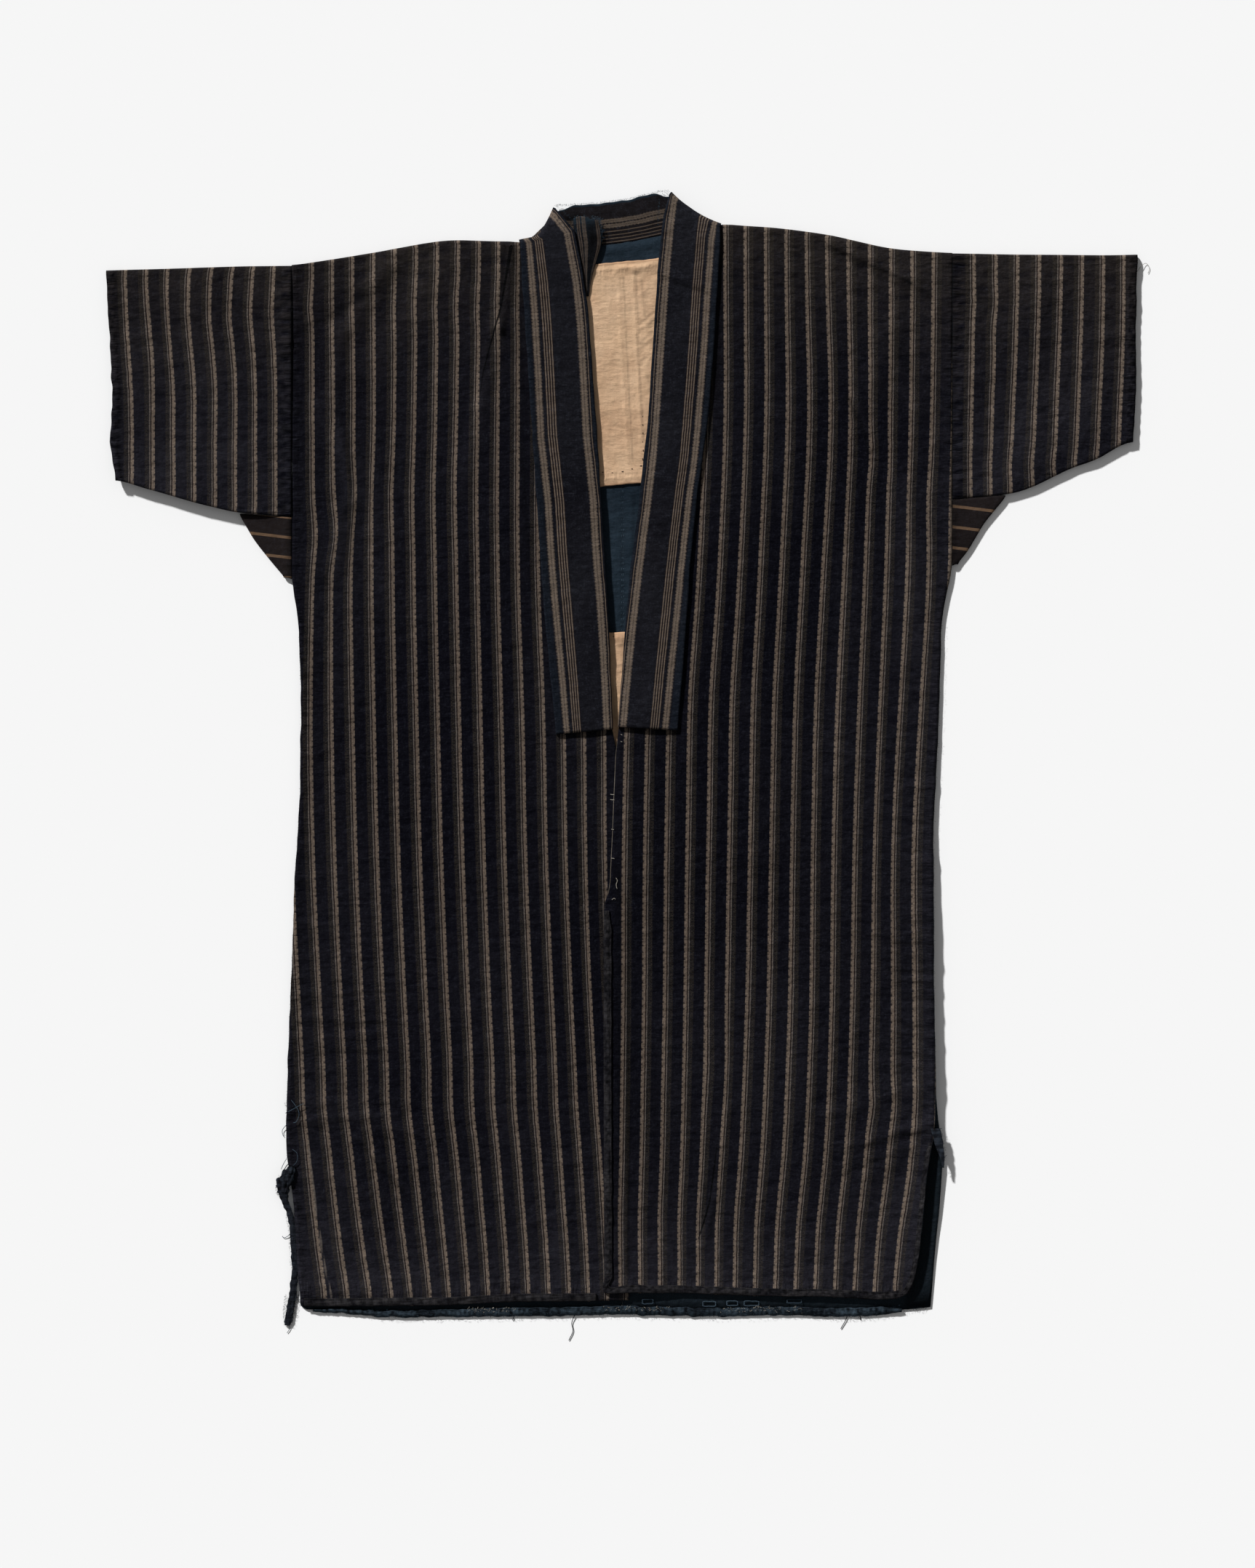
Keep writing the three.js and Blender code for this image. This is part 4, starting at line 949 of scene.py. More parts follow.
def buildBody(side, name, settings):
    share = np.linspace(0, 1, settings["columns"])
    sides = sideEdge[side]

    def sideX(y, layer):
        rough = wander(50 + side, y, 0 * y, 9, 60) * settings["edgeNoise"]
        return readSoft(sides, "y", y, layer, 14) + rough

    def topY(x):
        return readSoft(topEdge, "x", x, "y", 12)

    shoulderX = mix(side * general["armhole"], side * general["neckPoint"], share)
    shoulderTop = topY(shoulderX)
    radius = (frontHeight(side, shoulderX, shoulderTop) - backZ) / 2
    rows = []
    hemSideX = sideX(np.array(-512.0), "back")
    hemX = mix(hemSideX, side * general["centreGap"], share)
    hemY = read(backHem, "x", hemX, "y") + wander(60, hemX, 0 * hemX, 6, 40) * settings["hemNoise"]
    neckY = read(topEdge, "x", np.array(0.0), "y") - 0.7
    turnY = mix(topY(side * general["armhole"]), neckY, share) * mix(0.955, 0.999, share)
    for k in range(settings["backRows"] + 1):
        up = k / settings["backRows"]
        y = mix(hemY, turnY, up)
        x = mix(sideX(y, "back"), side * general["centreGap"], share)
        fromEdge = np.abs(sideX(y, "back") - x)
        lifted = read(sideLift, "y", y, "back") if side > 0 else 0.3
        rows.append(np.stack([x, y, backZ + lifted * np.exp(-fromEdge / 13)], 1))
    start = rows[-1]
    for k in range(1, settings["turnRows"] + 1):
        turn = k / settings["turnRows"]
        row = np.stack([mix(start[:, 0], shoulderX, turn), mix(start[:, 1], shoulderTop - radius, turn),
                        np.full(len(share), backZ)], 1)
        if k < settings["turnRows"]:
            row[-1, 1] = max(row[-1, 1], read(topEdge, "x", row[-1, 0], "y") - 1.1)
        rows.append(row)
    for k in range(1, settings["foldSteps"]):
        angle = math.pi * (k / settings["foldSteps"] - 0.5)
        y = shoulderTop - radius + radius * math.cos(angle)
        rows.append(np.stack([shoulderX, y, backZ + radius * (1 + math.sin(angle))], 1))
    backCount = len(rows)
    hemEdgeX = mix(read(sides, "y", -500.0, "front"), read(frontEdge[side], "y", -500.0, "x"), share)
    frontHemY = read(frontHem[side], "x", hemEdgeX, "y")
    frontHemY = frontHemY + wander(70 + side, hemEdgeX, 0 * hemEdgeX, 8, 50) * settings["hemNoise"] * 0.7
    for k in range(settings["frontRows"] + 1):
        down = k / settings["frontRows"]
        y = mix(shoulderTop - radius, frontHemY, down)
        x = mix(sideX(y, "front"), read(frontEdge[side], "y", y, "x"), share)
        rows.append(np.stack([x, y, frontHeight(side, x, y)], 1))
    mid = np.stack(rows)
    x, y = mid[..., 0], mid[..., 1]
    number = stripeNumber(frontStripes[side], x, y)
    number[:backCount] = stripeNumber(
        frontStripes[side], x[:backCount], np.full_like(x[:backCount], settings["shoulderStripes"]))
    first = settings["firstStripe"]
    if side < 0:
        first = mix(first, settings["firstStripeHigh"], smooth((y + 112) / 60))
    number = np.where(number < first, first + (number - first) * 0.12, number)
    length = lengthAlong(mid, 0)
    uv = np.stack([number * general["pitch"], length - length[backCount]], 2) * 0.001
    onFront = np.arange(len(mid))[:, None] >= backCount
    seam, hem = puckersAt(side, x, y, settings["hemY"])
    # Painted shadow on the back in the slit's hollow under the front's raised edge, and below the front's
    # hem
    hollowShadow = 0.7 * smooth((x - 262) / 8) * smooth((-338 - y) / 8) + 0.55 * smooth((-497 - y) / 6)
    shade = np.where(onFront, shadeAt(frontPaintedShades, x, y), np.clip(hollowShadow, 0, 0.8))
    fromSide = np.abs(read(sides, "y", y, "front") - x)
    # Painted shade in the gathers beside the side seam
    gatherShade = gathers(126 + side, x, y, 15, fromSide - 4, 6)
    shade = np.maximum(shade, 0.5 * gatherShade * onFront)
    values = {"wearAndHighlight": wearAndHighlightAt(side, x, y, settings["hemY"]), "shade": shade,
              "sidePucker": seam, "hemPucker": hem}
    values["creaseAside"] = x - read(creaseShadowLine[side], "y", y, "x")
    values["creaseHalf"] = read(creaseShadowLine[side], "y", y, "halfWidth") * onFront
    if side < 0:
        values["lineNear"] = nearSpareStripe(x, y) * onFront
    material = rightCotton if side < 0 else leftCotton
    return clothPiece(name, mid, general["bodyCloth"], uv, values, [material, insideCotton], (-20, 9))


bodyRight = buildBody(-1, "bodyRight", bodySettings)
bodyLeft = buildBody(1, "bodyLeft", bodySettings)
print("body ready")


# Sleeves and gussets

sleeveSettings = {
    "stations": 84, "backSteps": 26, "turnSteps": 8, "frontSteps": 96,
    "cuffX": 481.3, "endX": 309.0, "cuffHem": 8.5, "cuffNoise": 0.55,
    "stand": {-1: 5.2, 1: 1.0},         # mm that the underarm edge stands up
    "stripeLimits": (-0.5, 7.45),       # stripe numbers beyond which the cloth has no stripe
}


def buildSleeve(side, name, settings):
    cut = sleeveCut[side]
    cuffX, endX = side * settings["cuffX"], side * settings["endX"]
    share = np.linspace(0, 1, settings["stations"])
    stations = mix(cuffX, endX, share)
    top = readSoft(cut, "x", stations, "top", 10)
    bottom = readSoft(cut, "x", stations, "bottom", 8)
    topRadius = (sleeveHeight(stations, top) - backZ) / 2
    bottomRadius = (sleeveHeight(stations, bottom) - backZ) / 2
    lines = []
    for k in range(settings["backSteps"] + 1):
        y = mix(bottom + bottomRadius, top - topRadius, k / settings["backSteps"])
        lines.append((stations, y, np.full_like(y, backZ)))
    for k in range(1, settings["turnSteps"]):
        angle = math.pi * (k / settings["turnSteps"] - 0.5)
        lines.append((stations, top - topRadius * (1 - math.cos(angle)),
                      backZ + topRadius * (1 + math.sin(angle))))
    for k in range(settings["frontSteps"] + 1):
        down = k / settings["frontSteps"]
        y = mix(top - topRadius, bottom + bottomRadius, down)
        heightAt = top if k == 0 else bottom if k == settings["frontSteps"] else y
        lines.append((stations, y, sleeveHeight(stations, heightAt)))
    for k in range(1, settings["turnSteps"]):
        angle = math.pi * (0.5 - k / settings["turnSteps"])
        lines.append((stations, bottom + bottomRadius * (1 - math.cos(angle)),
                      backZ + bottomRadius * (1 + math.sin(angle))))
    mid = np.stack([np.stack(line, 1) for line in lines], 1)
    fromCuff = np.abs(mid[..., 0] - cuffX)
    pull = read(cuffEdge[side], "y", mid[..., 1], "x") - cuffX
    pull = pull + wander(80 + side, mid[..., 1], 0, 12, 70) * settings["cuffNoise"]
    mid[..., 0] += pull * np.clip(1 - fromCuff / 36, 0, 1)
    stand = settings["stand"][side] * smooth((np.abs(mid[..., 0]) - 300) / 50)
    mid[..., 2] += stand * np.exp(-np.maximum(mid[..., 1] - bottom[:, None], 0) / 17)
    pucker = np.sin(mid[..., 1] / 1.9 + 2 * np.sin(mid[..., 1] / 13)) * 0.25
    hem = smooth((settings["cuffHem"] - fromCuff) / 2)
    groove = np.exp(-((fromCuff - settings["cuffHem"] - 1.2) / 1.8) ** 2)
    front = np.arange(mid.shape[1])[None] > settings["backSteps"] + settings["turnSteps"]
    mid[..., 2] += front * (hem * (0.5 + pucker) - 0.6 * groove)
    x, y = mid[..., 0], mid[..., 1]
    closedX = np.concatenate([x, x[:, :1]], 1)
    closedY = np.concatenate([y, y[:, :1]], 1)
    around = lengthAlong(np.concatenate([mid, mid[:, :1]], 1), 1)
    number = np.clip(stripeNumber(sleeveStripes[side], closedX, closedY), *settings["stripeLimits"])
    uv = np.stack([number * general["pitch"], around], 2) * 0.001
    wearAndHighlight = 0.5 + 0.24 * wander(90 + side, x, y, 60, 260) + 0.25 * np.exp(-fromCuff / 14)
    wearAndHighlight = wearAndHighlight + 0.25 * np.exp(-(top[:, None] - y) / 18)
    fromSeam = np.abs(np.abs(x) - settings["endX"])
    nearSeam = np.exp(-((fromSeam / (16 if side > 0 else 11)) ** 2)) * (0.95 if side > 0 else 0.8)
    sidePucker = np.maximum(nearSeam, np.exp(-(((fromCuff - 5) / 7) ** 2)) * 0.9)
    # Painted shade in the groove beside the cuff hem, a dark line along the armhole seam, and painted shade
    # in the crumpled cuff hem
    shade = 0.5 * np.exp(-(((fromCuff - settings["cuffHem"] - 1) / 0.9) ** 2)) * front
    shade = np.maximum(shade, 0.55 * np.exp(-((fromSeam / 1.9) ** 2)) * front)
    crumple = hem * np.clip(0.3 + 0.75 * wander(120 + side, x, y, 4, 10, 14), 0, 0.8)
    shade = np.maximum(shade, crumple * front)
    # Painted shade in the gathers beside the armhole seam
    gatherShade = gathers(124 + side, x, y, 14, fromSeam - 5, 7)
    shade = np.maximum(shade, 0.7 * gatherShade * front)
    # Painted highlight on the gathers beside the armhole seam
    gatherHighlight = wander(128 + side, x * 0.4, y, 4, 12, 12) * np.exp(-((fromSeam - 7) / 8) ** 2)
    wearAndHighlight = wearAndHighlight + 0.9 * gatherHighlight * front
    # Painted highlight on the crumpled cuff hem
    wearAndHighlight = wearAndHighlight + 0.8 * wander(130 + side, x, y, 4, 10, 14) * hem * front
    values = {"wearAndHighlight": np.clip(wearAndHighlight, 0, 1), "shade": shade, "sidePucker": sidePucker}
    middle = settings["backSteps"] + settings["turnSteps"] + settings["frontSteps"] // 2
    return clothPiece(name, mid, general["bodyCloth"], uv, values, [rightCotton, insideCotton],
                      (20, middle), closed=True)


gussetSettings = {
    "rows": 26, "steps": 14,
    "topSeam": {-1: 227.4, 1: 243.9},
    "firstStripe": {-1: 227.0, 1: 238.0},
    "pitch": {-1: 18.7, 1: 19.4},
}


def buildGusset(side, name, settings):
    edge = gussetEdge[side]
    steps = settings["steps"]
    seamX = side * (general["armhole"] + general["gap"])
    topSeam = settings["topSeam"][side]
    lowSeam = edge["y"][0] - 1.5
    lines = []
    for down in np.linspace(0, 1, settings["rows"]):
        foldY = mix(edge["y"][-1], edge["y"][0], down)
        foldX = readSoft(edge, "y", foldY, "x", 4)
        seamY = mix(topSeam, lowSeam, down)
        height = frontZ + 0.6 * (1 - down) + 0.5
        radius = (height - backZ) / 2
        bend = foldX - side * radius
        share = np.linspace(0, 1, steps)
        x, y = mix(seamX, bend, share), mix(seamY, foldY, share)
        under = np.stack([x, y, np.full_like(x, backZ)], 1)
        angle = np.radians([-60, -30, 0, 30, 60])
        turned = np.stack([bend + side * radius * np.cos(angle), np.full_like(angle, foldY),
                           backZ + radius * (1 + np.sin(angle))], 1)
        bulge = 0.5 * np.sin(math.pi * share)
        over = np.stack([x, y, height + bulge], 1)[::-1]
        lines.append(np.concatenate([under, turned, over]))
    mid = np.stack(lines)
    firstStripe, pitch = settings["firstStripe"][side], settings["pitch"][side]
    number = (firstStripe - mid[..., 1]) / pitch - 0.12 * (mid[..., 0] - seamX) / pitch
    uv = np.stack([number + 0.24, mid[..., 0] * 0.001], 2)
    fromSeam = np.abs(mid[..., 0] - seamX)
    values = {"wearAndHighlight": np.full(mid.shape[:2], 0.5), "shade": 0.6 * np.exp(-((fromSeam / 4) ** 2)),
              "sidePucker": np.exp(-((fromSeam / 8) ** 2))}
    return clothPiece(name, mid, general["bodyCloth"], uv, values, [gussetStripes, insideCotton], (9, -5))


sleeveRight = buildSleeve(-1, "sleeveRight", sleeveSettings)
sleeveLeft = buildSleeve(1, "sleeveLeft", sleeveSettings)
gussetRight = buildGusset(-1, "gussetRight", gussetSettings)
gussetLeft = buildGusset(1, "gussetLeft", gussetSettings)
print("sleeves ready")


# Collar

collarFront = {
    -1: {"seamX": [-61.5, -66.5, -72, -76, -79.6, -83.5, -87.3, -90.5, -93, -94.3, -95],
         "seamY": [24.5, 77, 132, 188, 242, 302, 360, 408, 446, 468, 481],
         "freeX": [-8.6, -10.6, -13.1, -16.5, -19.7, -23.2, -27.2, -30.6, -34.7, -40.1, -44.6],
         "freeY": [29.2, 83, 137.7, 192, 245, 303, 358, 406, 443.7, 472, 495],
         "sink": [0, 0, 0.2, 0.5, 0.9, 1.2, 1.3, 1.3, 1.2, 0.9, 0.4]},
    1: {"seamX": [51.7, 56.4, 60.4, 64.3, 69.8, 75.3, 80.8, 85.3, 88.4, 90.6, 91.8],
        "seamY": [28.2, 80, 134, 190, 242, 282, 327, 378.8, 432.8, 462, 482],
        "freeX": [-4, 0.2, 4.1, 9.9, 16.5, 21, 25.4, 28.9, 32.8, 36, 38.6],
        "freeY": [31.3, 84, 137.7, 195.4, 244.8, 289, 334, 389.6, 448, 484, 509],
        "sink": [0, 0, 0.2, 0.5, 0.8, 1, 1.1, 1.1, 0.9, 0.6, 0.3]},
}
collarFold = {
    -1: {"share": [0, 0.43, 0.82, 1], "x": [-97.5, -77.2, -66.6, -62.5], "y": [485.5, 489.5, 508.5, 518.5],
         "out": (-0.6, 0.8)},
    1: {"share": [0, 0.25, 0.43, 0.8, 0.95, 1], "x": [93.5, 83.6, 71.4, 52.4, 46, 44.1],
        "y": [500.5, 504, 510, 523.5, 530.5, 532], "out": (0.46, 0.888)},
}
collarTop = {"x": [-62.5, -40, -23.8, 3.4, 25.2, 36, 44.1],
             "y": [518.5, 519.6, 520.6, 524.2, 529.6, 532, 532]}
collarSettings = {
    "columns": 34, "frontRows": 190, "turnSteps": 9, "backRows": 40,
    "clearance": 0.55,          # mm between the collar and the front under it
    "seamRise": 1.4,            # mm from the top edge of the back to the collar's seam
    "edgeNoise": 0.4, "topNoise": 0.8,
    "swell": 0.7, "backSwell": 0.9, "softness": 0.35,
}
# How far the bands of the collar cloth slip sideways, as a share of its width
collarSlip = {
    -1: {"y": [24, 77, 132, 188, 242, 302, 360, 408, 468],
         "slip": [0.03, 0.03, 0.025, 0.01, 0.015, -0.03, -0.01, 0, 0]},
    1: {"y": [28, 80, 134, 190, 242, 282, 327, 379, 433, 462],
        "slip": [0.05, 0.04, 0.01, -0.015, -0.015, -0.02, 0.005, 0.005, 0, 0]},
}


# Runs a soft curve through the rows of a table
def smoothTable(table, count):
    rows = len(next(iter(table.values())))
    at = np.linspace(0, rows - 1, count)
    k = np.clip(at.astype(int), 0, rows - 2)
    t = at - k
    result = {}
    for key, values in table.items():
        values = np.array(values, float)
        padded = np.concatenate([[2 * values[0] - values[1]], values, [2 * values[-1] - values[-2]]])
        a, b, c, d = padded[k], padded[k + 1], padded[k + 2], padded[k + 3]
        result[key] = 0.5 * (2 * b + (c - a) * t + (2 * a - 5 * b + 4 * c - d) * t * t
                             + (3 * b - a - 3 * c + d) * t ** 3)
    return result


collarFolds = {
    -1: [(-92, 330, -58, 322, 4, 0.5), (-40, 250, -22, 262, 4, 0.5), (-60, 150, -30, 158, 5, 0.5),
         (-84, 400, -60, 396, 4, 0.5), (-30, 90, -12, 98, 4, 0.4), (-74, 210, -50, 204, 4, 0.4)],
    1: [(40, 449, 76, 438, 3.2, -1.1), (38, 455, 74, 444, 4, 0.9), (30, 330, 60, 322, 4, 0.5),
        (20, 220, 50, 228, 5, 0.5), (10, 120, 40, 112, 5, 0.5), (60, 380, 82, 372, 4, 0.4)],
}
# Painted shade in the collar's crease and where it turns over at the neck
collarPaintedShades = [(50, 446, 80, 436, 1.5, 0.5), (-62, 496, -44, 508, 5, 0.7)]


def buildCollar(name, settings):
    share = np.linspace(0, 1, settings["columns"])
    clear = general["bodyCloth"] / 2 + settings["clearance"] + general["collarCloth"] / 2

    def onFront(side):
        table = smoothTable(collarFront[side], settings["frontRows"])
        seam = np.stack([table["seamX"], table["seamY"]], 1)[:, None]
        free = np.stack([table["freeX"], table["freeY"]], 1)[:, None]
        flat = mix(seam, free, share[None, :, None])
        x, y = flat[..., 0], flat[..., 1]
        outward = np.stack([free[..., 0] - seam[..., 0], free[..., 1] - seam[..., 1]], 2)
        outward /= np.linalg.norm(outward, axis=2, keepdims=True)
        atEdges = (np.abs(share - 0.5)[None] * 2) ** 6
        rough = wander(100 + side, y, 0 * y, 12, 70) * settings["edgeNoise"] * atEdges
        x = x + outward[..., 0] * rough
        y = y + outward[..., 1] * rough
        under = frontHeight(side, x, np.minimum(y, read(topEdge, "x", x, "y") - 4))
        panelEdge = read(frontEdge[side], "y", y, "x")
        sink = table["sink"][:, None] * smooth((-side * (x - panelEdge) - 4) / 24)
        swell = settings["swell"] * np.sin(math.pi * share)[None] ** 0.7
        soft = settings["softness"] * wander(110 + side, x, y, 30, 120)
        crease = foldHeight(collarFolds[side], x, y)
        return np.stack([x, y, under + clear - sink + swell + soft + crease], 2)

    def turned(side, frontRow):
        fold = collarFold[side]
        outX, outY = fold["out"]
        lines = []
        for k in range(1, settings["turnSteps"] + 1):
            angle = math.pi * (0.5 - k / settings["turnSteps"])
            radius = (frontRow[:, 2] - collarBackZ) / 2
            x = readSoft(fold, "share", share, "x", 0.1) + outX * radius * (math.cos(angle) - 1)
            y = readSoft(fold, "share", share, "y", 0.1) + outY * radius * (math.cos(angle) - 1)
            lines.append(np.stack([x, y, collarBackZ + radius * (1 + math.sin(angle))], 1))
        return np.stack(lines)

    right = onFront(-1)
    rightTurn = turned(-1, right[-1])
    left = onFront(1)[::-1]
    leftTurn = turned(1, left[0])[::-1]
    first, last = rightTurn[-1], leftTurn[0]
    back = []
    for k in range(1, settings["backRows"]):
        along = k / settings["backRows"]
        seamX = mix(first[0, 0], last[0, 0], along)
        freeX = mix(first[-1, 0], last[-1, 0], along)
        ends = smooth(np.minimum(along, 1 - along) / 0.16)
        lineSeam = mix(first[0, 1], last[0, 1], along)
        lineFree = mix(first[-1, 1], last[-1, 1], along)
        lowest = read(topEdge, "x", seamX, "y") + settings["seamRise"]
        seamY = max(mix(lineSeam, lowest, ends), lowest)
        freeY = mix(lineFree, read(collarTop, "x", freeX, "y"), ends)
        freeY = freeY + wander(120, np.array(freeX), 0, 7, 40) * settings["topNoise"]
        soft = settings["backSwell"] * np.sin(math.pi * share) * ends
        back.append(np.stack([mix(seamX, freeX, share), mix(seamY, freeY, share), collarBackZ + soft], 1))
    mid = np.concatenate([right, rightTurn, np.stack(back), leftTurn, left])
    slips = [np.interp(rows[:, 0, 1], collarSlip[side]["y"], collarSlip[side]["slip"])
             for rows, side in ((right, -1), (left, 1))]
    still = np.zeros(len(mid) - len(right) - len(left))
    slip = np.concatenate([slips[0], still, slips[1]])[:, None]
    length = lengthAlong(mid, 0).mean(1, keepdims=True) * np.ones((1, len(share)))
    uv = np.stack([share[None] - slip, length * 0.001], 2)
    x, y = mid[..., 0], mid[..., 1]
    turning = smooth((y - 440) / 60) * 0.6
    values = {
        "wearAndHighlight": np.clip(0.15 + turning + 0.25 * wander(130, x, y, 60, 240) + 0 * share[None], 0, 1),
        "shade": shadeAt(collarPaintedShades, x, y),
        "sidePucker": np.exp(-((share[None] / 0.1) ** 2)) * 0.7 + 0 * x,
    }
    return clothPiece(name, mid, general["collarCloth"], uv, values, [collarOuter, collarInner], (20, 12))


collar = buildCollar("collarCloth", collarSettings)
print("collar ready")


# Cloth inside the neck

def buildFlat(name, settings, z, material, seed):
    columns, rows = settings["grid"]
    across = np.linspace(0, 1, columns)[None]
    down = np.linspace(0, 1, rows)[:, None]
    x = mix(settings["left"], settings["right"], across) + 0 * down
    y = mix(settings["top"], settings["bottom"], down) + settings["tilt"] * x
    if settings.get("upToSeam"):
        short = read(topEdge, "x", x, "y") + 0.95 - settings["top"] - settings["tilt"] * x
        y = y + short * np.clip(1 - down / 0.02, 0, 1)
    edge = np.minimum(down, 1 - down) * (settings["top"] - settings["bottom"])
    y = y + wander(seed, x, 0 * y, 9, 45) * 0.6 * np.exp(-edge / 6)
    turned = settings["turned"]
    hem = smooth((turned - edge) / 2) * 0.45 if turned else 0
    hem = hem - (0.2 * np.exp(-((edge - turned - 1) / 1.5) ** 2) if turned else 0)
    height = z + hem + foldHeight(settings["folds"], x, y) + 0.12 * (1 + wander(seed + 1, x, y, 18, 60))
    mid = np.stack([x, y, height], 2)
    uv = np.stack([x, y], 2) * 0.001
    # Tone that varies at random over the patch; darkerBelow makes its lower part darker, and its upper part
    # darker where it is below zero
    mottled = 0.3 + 0.32 * wander(seed + 2, x, y, 40, 130) + 0.12 * wander(seed + 3, x, y, 9, 24)
    mottled = mottled - 0.3 * settings["darkerBelow"] * smooth((0.6 - down) / 0.5)
    values = {"wearAndHighlight": np.clip(np.maximum(mottled, 0.6 * (edge < 1.4) * (turned > 0)), 0, 1),
              # Painted shade along the creases of the patches and the lining, with a few dark seam and hem
              # lines
              "shade": shadeAt(settings["shades"], x, y),
              "hemPucker": np.exp(-(((edge - turned) / 4) ** 2)) * (0.8 if turned else 0)}
    return clothPiece(name, mid, general["thinCloth"], uv, values, [material, material], (9, 9))


backLining = buildFlat("backLining", {
    "left": -80, "right": 82, "bottom": 60, "top": 478, "tilt": 0.1, "grid": (60, 110), "turned": 0,
    "darkerBelow": 0, "upToSeam": True,
    "folds": [(12, 250, 13, 120, 1.6, 0.5), (2, 254, 2, 124, 1.6, -0.1), (-10, 210, 6, 200, 2, 0.3)],
    "shades": [(0.6, 256, 0.2, 120, 1.2, 0.45), (10, 252, 11, 130, 0.8, 0.4)],
}, liningZ, liningCotton, 140)
yokePatch = buildFlat("yokePatch", {
    "left": -98, "right": 102, "bottom": 258, "top": 466.5, "tilt": 0.085, "grid": (150, 150), "turned": 8,
    "darkerBelow": 1,
    "folds": [(-4, 458, -1, 392, 1.8, 0.4), (-1, 392, 6, 280, 1.8, 0.45), (10, 462, 13, 400, 1.6, 0.5),
              (13, 400, 18, 300, 1.6, 0.5), (17, 404, 32, 416, 2.2, 0.7), (16, 386, 30, 398, 2.0, 0.6),
              (20, 440, 26, 380, 3, 0.5), (-14, 330, 22, 326, 3, 0.3), (-12, 362, 14, 360, 3, 0.3),
              (-3, 462, 12, 459, 2.5, 0.7), (12, 459, 34, 466, 2.5, 0.6), (22, 370, 30, 384, 2, 0.5)],
    "shades": [(1.4, 452, 4, 392, 0.8, 0.34), (4, 392, 10, 280, 0.8, 0.36), (16, 408, 30, 420, 1.3, 0.5),
               (17, 390, 28, 401, 1.3, 0.42), (15, 372, 26, 380, 1.2, 0.36), (18, 450, 22, 410, 1.4, 0.32),
               (12, 462, 16, 400, 0.9, 0.2), (14, 398, 20, 300, 1.0, 0.25), (-20, 420, 8, 424, 2, 0.12),
               (-22, 380, 4, 372, 2, 0.12), (-10, 316, 18, 308, 2, 0.14), (24, 360, 30, 340, 2, 0.3),
               (-22, 473, 34, 477, 1.2, 0.55), (-15, 467.5, -14, 467.5, 1, 0.6),
               (-6, 467.4, -5, 467.4, 0.9, 0.6),
               (-30, 266.6, 30, 270.4, 0.8, 0.3)],
}, patchZ, patchCotton, 150)
waistPatch = buildFlat("waistPatch", {
    "left": -62, "right": 64, "bottom": -58, "top": 120, "tilt": 0.02, "grid": (70, 90), "turned": 7,
    "darkerBelow": -0.6,
    "folds": [(-14, 100, -8, 30, 2, 0.4), (-4, 108, 4, 60, 2, 0.3)],
    "shades": [(-12, 100, -7, 40, 1.2, 0.25)],
}, patchZ, patchCotton, 160)


flapSettings = {
    "y": [506.5, 494, 482, 468, 452, 434],
    "left": [-45.5, -44.6, -42.2, -39.4, -36.2, -33.4],
    "right": [-21.5, -19.6, -19.4, -23.5, -28.2, -31.2],
    "raise": [5.2, 4.6, 3.6, 2.4, 1.2, 0.4],
}


def buildFlap(name, settings):
    table = smoothTable(settings, 40)
    across = np.linspace(0, 1, 18)[None]
    x = mix(table["left"][:, None], table["right"][:, None], across)
    y = table["y"][:, None] + 1.8 * np.sin(across * 5.5) * smooth((table["y"][:, None] - 480) / 26)
    arch = 0.35 + 0.65 * np.sin(math.pi * np.clip(across, 0, 1)) ** 0.8
    z = patchZ + 1.4 + table["raise"][:, None] * arch
    mid = np.stack([x, y + 0 * x, z + 0.25 * wander(170, x, y, 5, 16)], 2)
    uv = np.stack([across + 0 * x, y * 0.001 + 0 * x], 2)
    wearAndHighlight = 0.8 * smooth((y - 498) / 8) + 0.15 * (across > 0.9) + 0 * x
    # Painted shade in the hollow of the flap
    hollowShade = smooth(0.75 - np.abs(across - 0.62) * 3.4) * smooth((502 - y) / 10)
    values = {"wearAndHighlight": np.clip(wearAndHighlight, 0, 1), "shade": np.clip(hollowShade * 0.8, 0, 1)}
    return clothPiece(name, mid, general["thinCloth"], uv, values, [flapCotton, darkCotton], (20, 9))


flapTones = dict(collarTones, ground=tone(12, 11, 13), worn=tone(36, 50, 60),
                 edge=tone(38, 54, 66), tan=tone(84, 74, 66))
flapCotton = bandedCotton(
    "flapCotton", [(0.30, 0.46)], [(0.14, 0.025), (0.22, 0.025), (0.86, 0.03), (0.94, 0.03)],
    [(0.965, 1.1)], flapTones)
collarFlap = buildFlap("collarFlap", flapSettings)
print("neck ready")


# Turned edges and torn cloth

